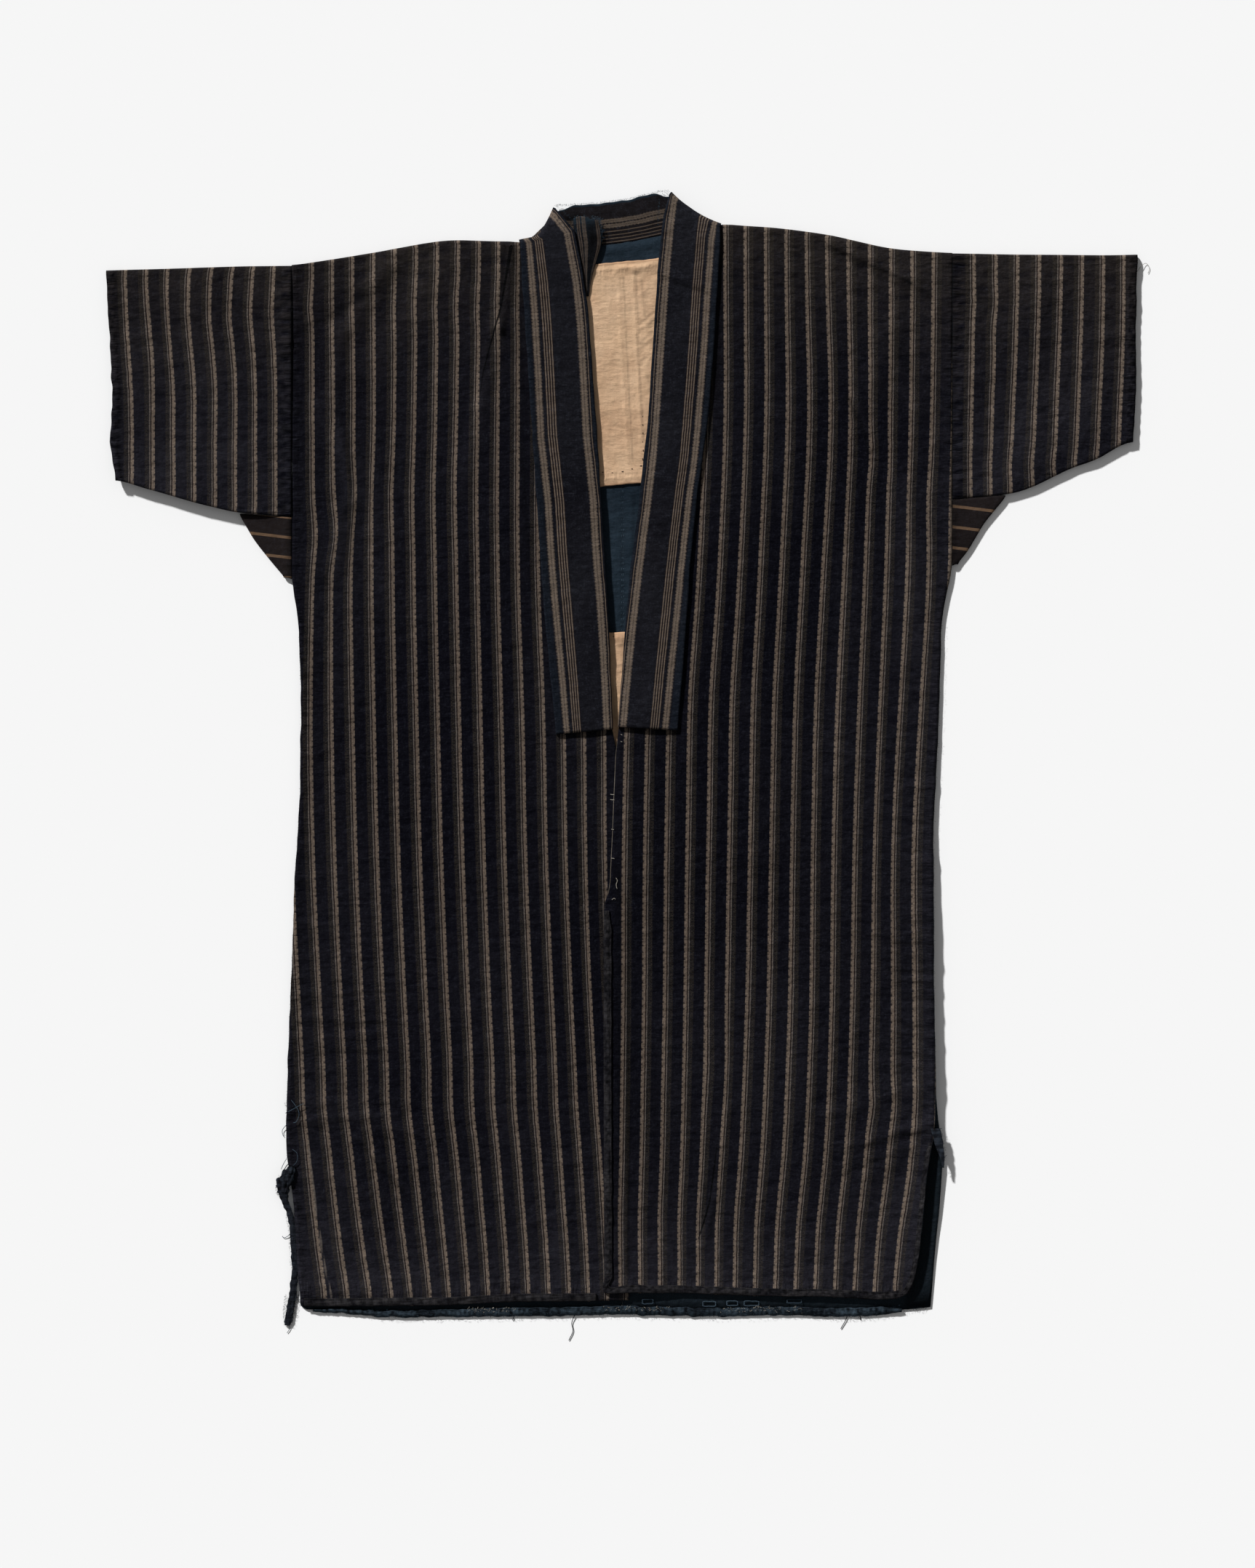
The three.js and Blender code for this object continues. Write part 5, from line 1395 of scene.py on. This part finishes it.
# A narrow turned edge along a route of (x, y, inward x, inward y), drawn up by its stitches
def buildBand(name, route, settings, heightAt, material):
    table = smoothTable(dict(zip(("x", "y", "inX", "inY"), route.T)), 12 * len(route))
    step = np.hypot(np.diff(table["x"]), np.diff(table["y"]))
    length = np.concatenate([[0], np.cumsum(step)])
    even = np.arange(0, length[-1], 1.1)
    x0, y0 = np.interp(even, length, table["x"]), np.interp(even, length, table["y"])
    inX, inY = np.interp(even, length, table["inX"]), np.interp(even, length, table["inY"])
    size = np.hypot(inX, inY)
    share = np.linspace(0, 1, 10)[None]
    fromEnd = np.minimum(even, even[-1] - even)
    width = (settings["width"](x0, y0) * mix(settings["tip"], 1, smooth(fromEnd / 22)))[:, None]
    seed, pucker, thickness = settings["seed"], settings["pucker"], general["thinCloth"]
    wave = wander(seed, even, 0 * even, 7, 30)[:, None]
    reach = width * share + wave * settings["ragged"] * (np.abs(share - 0.5) * 2)
    x = x0[:, None] + (inX / size)[:, None] * reach
    y = y0[:, None] + (inY / size)[:, None] * reach
    swell = np.sin(math.pi * np.clip(share * 0.92 + 0.04, 0, 1)) ** 0.6
    bumps = wander(seed + 1, even[:, None] + 0 * share, 1.4 * share * width, 2.6, 13, 14) * pucker * swell
    groove = np.exp(-(((share - 0.8) / 0.09) ** 2)) * settings["groove"]
    z = heightAt(x, y) + general["bodyCloth"] / 2 + general["gap"] + 0.15 + thickness / 2
    wrap = smooth(1 - share / 0.28) * settings["wrap"]
    x = x - (inX / size)[:, None] * 0.7 * wrap
    y = y - (inY / size)[:, None] * 0.7 * wrap
    mid = np.stack([x, y, z + 0.75 * swell + bumps - groove + 0.2 * wave - wrap], 2)
    uv = np.stack([reach + 0 * x, even[:, None] + 0 * x], 2) * 0.001
    patchy = wander(seed + 2, even[:, None] + 0 * share, share * width, 10, 50)
    # Painted highlight on the tops of the puckers, painted shade in their troughs and in the stitched
    # groove
    values = {"wearAndHighlight": np.clip(0.3 + 0.9 * bumps + 0.35 * patchy, 0, 1),
              "shade": np.clip(0.5 * np.exp(-(((share - 0.8) / 0.07) ** 2)) - 1.7 * bumps + 0 * x, 0, 0.85),
              "hemPucker": np.full(x.shape, 0.6), "sidePucker": np.full(x.shape, 0.6)}
    return clothPiece(name, mid, thickness, uv, values, [material, material], (9, 3))


def leftRoute():
    stops = [(read(frontEdge[1], "y", y, "x") + 0.4, y, 1, 0)
             for y in (-140, -175, -210, -250, -290, -330, -370, -410, -450, -480)]
    stops.append((read(frontEdge[1], "y", -496.0, "x") + 0.4, -496.4, 1, 1))
    stops += [(x, read(frontHem[1], "x", x, "y") + 0.4, 0, 1)
              for x in (5, 20, 35, 55, 85, 120, 155, 190, 220, 245)]
    stops.append((263.5, -499.5, -0.8, 1))
    stops += [(read(sideEdge[1], "y", y, "front") - 0.4, y, -1, 0.1)
              for y in (-484, -462, -440, -415, -392, -372, -356)]
    return np.array(stops, float)


edgeBandLeft = buildBand("edgeBandLeft", leftRoute(), {
    "width": lambda x, y: np.where(x > 262, 4.4, 7.0), "pucker": 0.38, "ragged": 0.35, "groove": 0.5,
    "wrap": 0, "tip": 0.7, "seed": 180,
}, lambda x, y: frontHeight(1, x, y), edgeCotton)
rightHemRoute = np.array([(x, read(frontHem[-1], "x", x, "y") + 0.4, 0, 1)
                          for x in (-297, -280, -250, -220, -190, -160, -130, -100, -70, -45, -24)], float)
hemBandRight = buildBand("hemBandRight", rightHemRoute, {
    "width": lambda x, y: np.full(np.shape(x), 7.2), "pucker": 0.36, "ragged": 0.35, "groove": 0.45,
    "wrap": 0, "tip": 1, "seed": 190,
}, lambda x, y: frontHeight(-1, x, y), edgeCotton)
backHemRoute = np.array([(x, read(backHem, "x", x, "y") - 0.6, 0, 1)
                         for x in (-289, -272, -256, -240, -225, -200, -160, -120, -80, -40,
                                   0, 40, 80, 120, 160, 200, 235, 262)], float)
hemBandBack = buildBand("hemBandBack", backHemRoute, {
    "width": lambda x, y: mix(2.6, 6.8, np.clip((x + 290) / 170, 0, 1)), "pucker": 0.4, "ragged": 0.9,
    "groove": 0.3, "wrap": 1.5, "tip": 0.3, "seed": 200,
}, lambda x, y: backZ + 0 * x, hemCotton)


stripSettings = {
    "x": [-309, -311.5, -315, -316.5, -314.4, -310.6, -307.7, -306.3, -305.8, -307.6, -309,
          -310.3, -311.4, -312.1],
    "y": [-379, -385, -393, -402, -413, -424, -438, -458, -475, -491, -502.5, -513, -523, -528.4],
    "half": [2.6, 5.2, 7.2, 5.2, 3.0, 2.6, 3.1, 2.9, 2.7, 3.0, 3.3, 3.5, 3.3, 2.2],
    "raised": [1, 1, 1, 0.9, 0.6, 0.4, 0.4, 0.38, 0.3, 0.08, 0, 0, 0, 0],
}


def buildStrip(name, settings):
    table = smoothTable(settings, 130)
    share = np.linspace(-1, 1, 20)[None]
    y = table["y"][:, None] + 0 * share
    onPanel = frontHeight(-1, np.full(len(table["y"]), -306.0), table["y"]) + 2.4
    z = mix(1.1, onPanel, np.clip(table["raised"], 0, 1))[:, None]
    knot = np.clip(table["raised"], 0, 1)[:, None]
    rough = wander(210, y, 26 * share, 3, 9)
    sway = 0.7 * wander(211, y, 0 * share, 14, 40) * (1 - knot)
    x = table["x"][:, None] + sway + table["half"][:, None] * share * (1 + 0.24 * rough)
    crumple = knot ** 3 * (wander(212, x, y, 2.4, 8) + 0.8)
    crumple = crumple + 0.5 * wander(214, x, y, 3, 9) * (1 - knot) + 0.4
    z = z + np.maximum(crumple, 0) * np.cos(share * 1.2)
    mid = np.stack([x, y + knot * 1.4 * wander(216, x, y, 5, 12), z], 2)
    uv = np.stack([x, y], 2) * 0.001
    # Painted shade in the hollows of the knot and the crumpled strip, and a dark painted spot in the knot
    hollowShade = np.clip(-wander(212, x, y, 2.6, 6) * knot - 0.5 * wander(214, x, y, 3, 9) * (1 - knot), 0, 1)
    wearAndHighlight = 0.15 + 0.5 * rough * (np.abs(share) > 0.7) + 0.4 * knot * wander(218, x, y, 4, 9)
    values = {"wearAndHighlight": np.clip(wearAndHighlight, 0, 1),
              "shade": np.maximum(hollowShade * 0.9, shadeAt([(-315, -396, -312, -399, 1.6, 0.95)], x, y)),
              "sidePucker": np.full(x.shape, 0.8), "hemPucker": np.full(x.shape, 0.8)}
    return clothPiece(name, mid, general["bodyCloth"], uv, values, [darkCotton, darkCotton], (90, 10))


tabSettings = {
    "x": [292.6, 294.6, 296.9, 298.7, 299.8],
    "y": [-343.5, -353, -362, -371, -380],
    "half": [4.6, 4.0, 3.4, 2.0, 0.8],
}


def buildTab(name, settings):
    table = smoothTable(settings, 26)
    share = np.linspace(-1, 1, 9)[None]
    y = table["y"][:, None] + 0 * share
    x = table["x"][:, None] + table["half"][:, None] * share * (1 + 0.15 * wander(220, y, 9 * share, 4, 12))
    lift = frontHeight(1, np.array(294.0), np.array(-356.0)) + 1.6
    z = lift + 0.8 * wander(222, x, y, 5, 14) + 0.4
    wearAndHighlight = np.clip(0.3 + 0.4 * wander(224, x, y, 4, 12), 0, 1)
    mid = np.stack([x, y, z], 2)
    uv = np.stack([x, y], 2) * 0.001
    return clothPiece(name, mid, general["thinCloth"], uv, {"wearAndHighlight": wearAndHighlight}, [darkCotton, darkCotton], (9, 4))


slitStrip = buildStrip("slitStrip", stripSettings)
slitTab = buildTab("slitTab", tabSettings)
print("edges ready")


# Stitches, fraying and loose threads

def geometryGroup(name, inputs):
    tree = bpy.data.node_groups.new(name, "GeometryNodeTree")
    tree.interface.new_socket("Geometry", in_out="INPUT", socket_type="NodeSocketGeometry")
    for key, (kind, value) in inputs.items():
        socket = tree.interface.new_socket(key, in_out="INPUT", socket_type="NodeSocket" + kind)
        if value is not None:
            socket.default_value = value
    tree.interface.new_socket("Geometry", in_out="OUTPUT", socket_type="NodeSocketGeometry")
    wires = Wires(tree)
    return tree, wires, wires.node("NodeGroupInput"), wires.node("NodeGroupOutput")


def randomVector(w, low, high, seed):
    made = w.fed("FunctionNodeRandomValue", {"Min": low, "Max": high, "Seed": seed},
                 data_type="FLOAT_VECTOR")
    return made.outputs["Value"]


def vectorMath(w, operation, first, second):
    made = w.node("ShaderNodeVectorMath", operation=operation)
    w.feed(made.inputs[0], first)
    w.feed(made.inputs[1], second)
    return made.outputs[0]


def pointsAlong(w, given, mode, amount):
    curve = w.fed("GeometryNodeMeshToCurve", {"Mesh": given.outputs["Geometry"]})
    return w.fed("GeometryNodeCurveToPoints", {"Curve": curve.outputs[0], mode: given.outputs[amount]},
                 mode=mode.upper())


# Puts one copy of a shape on each moved point, as real geometry in the group's material
def scatterOn(w, given, out, points, offset, shape, turn, scale):
    moved = w.fed("GeometryNodeSetPosition", {"Geometry": points.outputs["Points"], "Offset": offset})
    put = w.fed("GeometryNodeInstanceOnPoints", {
        "Points": moved.outputs[0], "Instance": shape, "Rotation": turn, "Scale": scale})
    real = w.fed("GeometryNodeRealizeInstances", {"Geometry": put.outputs[0]})
    coloured = w.fed("GeometryNodeSetMaterial", {
        "Geometry": real.outputs[0], "Material": given.outputs["Material"]})
    w.feed(out.inputs[0], coloured.outputs[0])


def makeStitchRow():
    tree, w, given, out = geometryGroup("stitchRow", {
        "Spacing": ("Float", 0.006), "Length": ("Float", 0.003), "Thickness": ("Float", 0.0004),
        "Shift": ("Float", 0.0003), "Seed": ("Int", 1), "Material": ("Material", None)})
    seed, thickness, shift = given.outputs["Seed"], given.outputs["Thickness"], given.outputs["Shift"]
    points = pointsAlong(w, given, "Length", "Spacing")
    far = w.vector(shift, shift, shift)
    low = vectorMath(w, "MULTIPLY", far, (-1, -1, -0.3))
    high = vectorMath(w, "MULTIPLY", far, (1, 1, 0.3))
    turn = w.fed("FunctionNodeAlignRotationToVector", {"Vector": points.outputs["Tangent"]}, axis="Z")
    bead = w.fed("GeometryNodeMeshUVSphere", {"Segments": 8, "Rings": 5, "Radius": 0.5})
    size = w.vector(thickness, thickness, given.outputs["Length"])
    uneven = randomVector(w, (0.8, 0.8, 0.7), (1.15, 1.15, 1.2), seed)
    scatterOn(w, given, out, points, randomVector(w, low, high, seed), bead.outputs["Mesh"],
              turn.outputs[0], vectorMath(w, "MULTIPLY", size, uneven))
    return tree


def makeFrayRow():
    tree, w, given, out = geometryGroup("frayRow", {
        "Count": ("Int", 60), "Length": ("Float", 0.004), "Radius": ("Float", 0.00012),
        "Direction": ("Float", 0.0), "Spread": ("Float", 0.8), "Scatter": ("Float", 0.0005),
        "Seed": ("Int", 1), "Material": ("Material", None)})
    seed, scatter, size = given.outputs["Seed"], given.outputs["Scatter"], given.outputs["Length"]
    direction, spread = given.outputs["Direction"], given.outputs["Spread"]
    points = pointsAlong(w, given, "Count", "Count")
    far = w.vector(scatter, scatter, scatter)
    near = vectorMath(w, "MULTIPLY", far, (-1, -1, -1))
    fibre = w.fed("GeometryNodeCurveQuadraticBezier", {
        "Resolution": 3, "Start": (0, 0, 0), "Middle": (0.55, 0.32, 0.12), "End": (1, 0.1, -0.05)})
    scaled = w.fed("GeometryNodeTransform", {
        "Geometry": fibre.outputs[0], "Scale": w.vector(size, size, size)})
    ring = w.fed("GeometryNodeCurvePrimitiveCircle", {"Resolution": 4, "Radius": given.outputs["Radius"]})
    solid = w.fed("GeometryNodeCurveToMesh", {"Curve": scaled.outputs[0], "Profile Curve": ring.outputs[0]})
    leastTurn = w.vector(-0.5, -0.3, w.minus(direction, spread))
    mostTurn = w.vector(0.5, 0.05, w.plus(direction, spread))
    scatterOn(w, given, out, points, randomVector(w, near, far, seed), solid.outputs[0],
              randomVector(w, leastTurn, mostTurn, seed),
              randomVector(w, (0.15, -1.6, 0.5), (1.1, 1.6, 1), seed))
    return tree


stitchRow = makeStitchRow()
frayRow = makeFrayRow()


# Runs a geometry group along a few lines of points in mm and keeps its plain mesh
def along(name, lines, tree, inputs, material):
    vertices, edges = [], []
    for line in lines:
        start = len(vertices)
        vertices += [tuple(point) for point in place(np.array(line, float))]
        edges += [(start + k, start + k + 1) for k in range(len(line) - 1)]
    guide = bpy.data.meshes.new(name)
    guide.from_pydata(vertices, edges, [])
    piece = addObject(name, guide)
    modifier = piece.modifiers.new("rows", "NODES")
    modifier.node_group = tree
    inputs = dict(inputs, Material=material)
    for item in tree.interface.items_tree:
        if item.in_out == "INPUT" and item.name in inputs:
            modifier[item.identifier] = inputs[item.name]
    bpy.context.view_layer.update()
    evaluated = piece.evaluated_get(bpy.context.evaluated_depsgraph_get())
    mesh = bpy.data.meshes.new_from_object(evaluated)
    piece.modifiers.remove(modifier)
    piece.data = mesh
    mesh.name = name
    bpy.data.meshes.remove(guide)
    points = np.zeros(len(mesh.vertices) * 3, dtype=np.float32)
    mesh.vertices.foreach_get("co", points)
    points[2::3] = np.maximum(points[2::3], general["lowestFibre"])
    mesh.vertices.foreach_set("co", points)
    mesh.polygons.foreach_set("use_smooth", np.ones(len(mesh.polygons), dtype=bool))
    return piece


# Loose threads: a thin tube along each line of (x, y, z) in mm
def threads(name, lines, radius, material, sides=6):
    points, faces = [], []
    for line in lines:
        table = smoothTable(dict(zip("xyz", zip(*line))), 8 * len(line))
        path = np.stack([table["x"], table["y"], table["z"]], 1)
        heading = np.gradient(path, axis=0)
        heading /= np.linalg.norm(heading, axis=1, keepdims=True)
        aside = np.cross(heading, (0.1, 0.2, 1.0))
        aside /= np.linalg.norm(aside, axis=1, keepdims=True)
        upward = np.cross(aside, heading)
        start = len(points)
        for k in range(len(path)):
            thick = radius * (1 if 0 < k < len(path) - 1 else 0.3)
            for corner in range(sides):
                angle = 2 * math.pi * corner / sides
                points.append(path[k] + thick * (aside[k] * math.cos(angle) + upward[k] * math.sin(angle)))
        for k in range(len(path) - 1):
            for corner in range(sides):
                a, b = start + k * sides + corner, start + k * sides + (corner + 1) % sides
                faces.append((a, b, b + sides, a + sides))
        faces.append(tuple(start + corner for corner in reversed(range(sides))))
        faces.append(tuple(start + (len(path) - 1) * sides + corner for corner in range(sides)))
    mesh = bpy.data.meshes.new(name)
    mesh.from_pydata([tuple(p) for p in place(np.array(points))], [], faces)
    mesh.polygons.foreach_set("use_smooth", np.ones(len(faces), dtype=bool))
    mesh.uv_layers.new(name="cloth")
    mesh.materials.append(material)
    return addObject(name, mesh)


def onFront(side, points, above=1.2):
    line = np.array(points, float)
    return [(x, y, float(frontHeight(side, np.array(x), np.array(y))) + above) for x, y in line]


# Points beside the line of a table, in even steps of x and all at one height
def beside(table, low, high, step, aside, z):
    return [(x, float(read(table, "x", x, "y")) + aside, z) for x in np.arange(low, high, step)]


def besideFront(side, low, high, z):
    return [(float(read(sideEdge[side], "y", y, "front")), y, z) for y in np.arange(low, high, 8.0)]


patchTop = patchZ + 0.75
details = []
details.append(along("patchStitches", [
    [(-18, 269.5, patchTop), (-2, 269.5, patchTop), (18, 275.5, patchTop)],
    [(19.5, 274, patchTop), (19.5, 322, patchTop)],
    [(-8, 116, patchTop), (6, 117, patchTop)],
], stitchRow, {"Spacing": 0.0079, "Length": 0.0021, "Thickness": 0.0008, "Seed": 4}, darkThread))
liningTop = liningZ + 0.7
details.append(along("liningStitches", [
    [(0, 252, liningTop), (0, 190, liningTop), (-0.5, 122, liningTop)],
    [(1.4, 252, liningTop), (1.2, 122, liningTop)],
], stitchRow, {"Spacing": 0.0052, "Length": 0.0022, "Thickness": 0.0005, "Seed": 9}, blueThread))
overlapStitches = [
    onFront(1, [(-11, -31.5), (-7, -32)]), onFront(1, [(-11, -36.4), (-7, -36.8)]),
    onFront(1, [(-10, -64), (-7.5, -64.5)]), onFront(1, [(-10, -91), (-7, -91.6)]),
    onFront(1, [(-5.6, -109.5), (-4.4, -112), (-5.4, -116), (-4.6, -120)]),
    onFront(1, [(-9.5, -130), (-7.5, -128.6), (-6, -129.6)]),
    onFront(1, [(-1.2, 24.6), (0.2, 23.8)], 3.0), onFront(1, [(-1.2, 18), (0.2, 17.4)], 1.6),
]
details.append(threads("overlapStitches", overlapStitches, 0.32, paleThread))
hemThreads = [
    [(-43.5, -517, 1.6), (-47, -526, 0.9), (-46, -534, 0.6), (-50, -543, 0.5)],
    [(-100, -516, 1.4), (-101, -520, 0.8), (-102.5, -524, 0.5)],
    [(211, -518, 1.4), (209, -524, 0.8), (204.5, -532, 0.5)],
    [(222, -519, 1.3), (223, -521, 0.6), (223, -523.5, 0.5)],
]
overlapLine = []
for y in (18, 6, -8, -22, -36, -52, -68, -84, -100, -113, -125):
    x = float(read(frontEdge[1], "y", y, "x")) + 0.35 + 0.12 * math.sin(y * 0.9)
    overlapLine += onFront(1, [(x, y)], 0.75)
details.append(threads("overlapLine", [overlapLine], 0.28, seamThread))
details.append(threads("hemThreads", hemThreads, 0.34, hemCotton))
# Middle, half length and half height of each loop in mm
hemLoops = [(24, -506, 5.5, 2.3), (81.5, -508, 6.6, 2.5), (103, -507.5, 5.6, 2.4), (121, -507.5, 7.6, 2.4),
            (161, -505.5, 7.4, 1.9)]


def loopLine(x, y, halfLength, halfHeight):
    angles = np.linspace(0.2, 2 * math.pi + 0.1, 15)
    square = 1 + 0.14 * np.cos(4 * angles + math.pi)
    rough = 0.25 * wander(int(x) + 300, angles * 4, 0 * angles, 5, 12)
    return np.stack([x + halfLength * square * np.cos(angles),
                     y + halfHeight * square * np.sin(angles) + rough,
                     3.7 - 0.5 * np.sin(angles)], 1).tolist()


details.append(threads("hemLoops", [loopLine(*loop) for loop in hemLoops], 0.42, blueThread))
details.append(threads("slitThreads", [
    [(-311.5, -528, 1.2), (-311, -531.5, 0.8), (-313.5, -535.8, 0.5)],
    [(-308, -363, 6.5), (-303.5, -367, 7.6), (-303.6, -374, 7.8), (-308, -379, 6.4), (-313, -380, 5)],
    [(-315, -330, 2.6), (-308, -326, 7.4), (-301, -322, 8.6), (-297, -320, 8.6)],
    [(-309, -317, 7), (-303, -325, 8.6), (-301.5, -331, 8.6), (-304, -337, 8.2), (-307, -338.5, 7.4)],
    [(-313.5, -372, 2.5), (-316.5, -377, 1.8), (-319, -382.5, 1.5)],
    [(-308.4, -438, 1.8), (-311, -443.5, 1.2), (-316, -446.6, 0.6), (-318, -445, 0.5)],
    [(-313.4, -340, 2), (-317.8, -346, 1.2), (-316.8, -352, 0.7)],
], 0.26, blueThread))
details.append(threads("cuffThread", [
    [(480, 455, 4), (485, 462, 2.4), (490, 465.5, 1), (493.5, 461, 0.6), (492, 456, 0.5)],
], 0.2, paleThread))

down = -math.pi / 2
fine = {"Radius": 0.00008, "Length": 0.0018, "Scatter": 0.0006}
hemPale = [beside(backHem, low, high, 5.0, 4.4, 3.2) for low, high in ((-146, -96), (-20, 50), (92, 170))]
flapLine = [(x, 505.5 + 1.6 * math.sin(x), patchZ + 4.6) for x in np.arange(-45, -20, 1.5)]
frays = [
    ("hemFray", [beside(backHem, -292, 286, 6.0, -0.2, 1.3)], fuzzThread,
     {"Count": 1500, "Length": 0.0024, "Direction": down, "Spread": 1.25, "Scatter": 0.0009, "Seed": 3}),
    ("hemFuzz", [beside(backHem, -240, 262, 6.0, 2.4, 3.0)], fuzzThread,
     {"Count": 1500, "Direction": down, "Spread": 2.6, "Scatter": 0.0024, "Seed": 31}),
    ("hemPaleFuzz", hemPale, paleThread,
     {"Count": 150, "Length": 0.0022, "Direction": down, "Spread": 2.8, "Scatter": 0.0016, "Seed": 32}),
    ("collarFray", [beside(collarTop, -62, 45, 3.0, 0.4, 2.4)], fuzzThread,
     {"Count": 420, "Length": 0.0015, "Direction": -down, "Spread": 1.2, "Seed": 5}),
    ("flapFray", [flapLine, [(-21, 505, 9), (-19, 496, 8), (-19.4, 486, 7)]], blueThread,
     {"Count": 130, "Length": 0.0026, "Direction": 0.9, "Spread": 2.4, "Scatter": 0.0013, "Seed": 6}),
    ("neckFray", [[(-62, 518, 8), (-55, 513, 9), (-47, 505, 9.5), (-42, 494, 9), (-38, 484, 8.5)],
                  [(43, 531, 8), (35, 527, 8.5), (34, 515, 9), (33.5, 500, 9)]], fuzzThread,
     {"Count": 90, "Length": 0.0016, "Direction": 0.5, "Spread": 2.6, "Scatter": 0.0007, "Seed": 61}),
    ("knotFray", [[(-306, -384, 6), (-315, -386, 6), (-321, -392, 6), (-322, -400, 5), (-320, -407, 4)],
                  [(-314, -322, 3), (-304, -324, 4.6), (-300, -330, 4.8)]], darkCotton,
     {"Count": 190, "Length": 0.0034, "Direction": 2.6, "Spread": 1.7, "Scatter": 0.0016, "Seed": 7}),
    ("stripFray", [[(-314.6, -500, 1.4), (-316.6, -516, 1.4), (-315.4, -528, 1.4), (-309, -528.4, 1.4)],
                   [(-303.6, -500, 1.4), (-305.8, -512, 1.4), (-308.6, -526, 1.4)],
                   [(-314, -424, 2), (-311.6, -440, 2), (-310.2, -460, 2), (-309.4, -476, 2)]], darkCotton,
     {"Count": 130, "Length": 0.0018, "Direction": down, "Spread": 2.6, "Seed": 8}),
    ("tabFray", [[(288.5, -346, 6), (292, -341, 6), (297, -346, 6), (300, -362, 6), (300.6, -380, 5.6)]],
     fuzzThread,
     {"Count": 120, "Length": 0.0026, "Direction": 0.4, "Spread": 1.8, "Scatter": 0.0011, "Seed": 10}),
    ("sideFrayRight", [besideFront(-1, -500, 120, 2.8)], darkCotton,
     {"Count": 380, "Length": 0.0013, "Direction": math.pi, "Spread": 1.2, "Seed": 12}),
    ("sideFrayLeft", [besideFront(1, -340, 140, 4.4)], darkCotton,
     {"Count": 300, "Length": 0.0013, "Direction": 0.0, "Spread": 1.2, "Seed": 13}),
]
for name, lines, material, inputs in frays:
    details.append(along(name, lines, frayRow, dict(fine, **inputs), material))
print("threads ready")


# How each piece rides and what it is cut from

sheets = {
    "body_right": (bodyRight, "stripedCotton", (0.312, 2.03), None),
    "body_left": (bodyLeft, "stripedCotton", (0.31, 2.03), None),
    "sleeve_right": (sleeveRight, "stripedCotton", (0.173, 0.43), None),
    "sleeve_left": (sleeveLeft, "stripedCotton", (0.173, 0.41), None),
    "gusset_right": (gussetRight, "stripedCotton", (0.06, 0.06), None),
    "gusset_left": (gussetLeft, "stripedCotton", (0.06, 0.06), None),
    "collar": (collar, "collarCotton", (0.057, 1.13), None),
    "collar_flap": (collarFlap, "collarCotton", (0.025, 0.073), 0.0011),
    "back_lining": (backLining, "indigoLining", (0.162, 0.414), None),
    "yoke_patch": (yokePatch, "undyedCotton", (0.2, 0.209), None),
    "waist_patch": (waistPatch, "undyedCotton", (0.126, 0.178), None),
    "edge_band_left": (edgeBandLeft, "stripedCotton", (0.01, 0.78), 0.0052),
    "hem_band_right": (hemBandRight, "stripedCotton", (0.01, 0.275), 0.002),
    "hem_band_back": (hemBandBack, "indigoLining", (0.01, 0.55), 0.0044),
    "slit_strip": (slitStrip, "stripedCotton", (0.016, 0.147), 0.0014),
    "slit_tab": (slitTab, "stripedCotton", (0.01, 0.037), 0.00022),
}
for node, (piece, slotName, flat, area) in sheets.items():
    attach(piece, "root")
    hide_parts(node)
for piece in details:
    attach(piece, "root")
print("pieces ride")

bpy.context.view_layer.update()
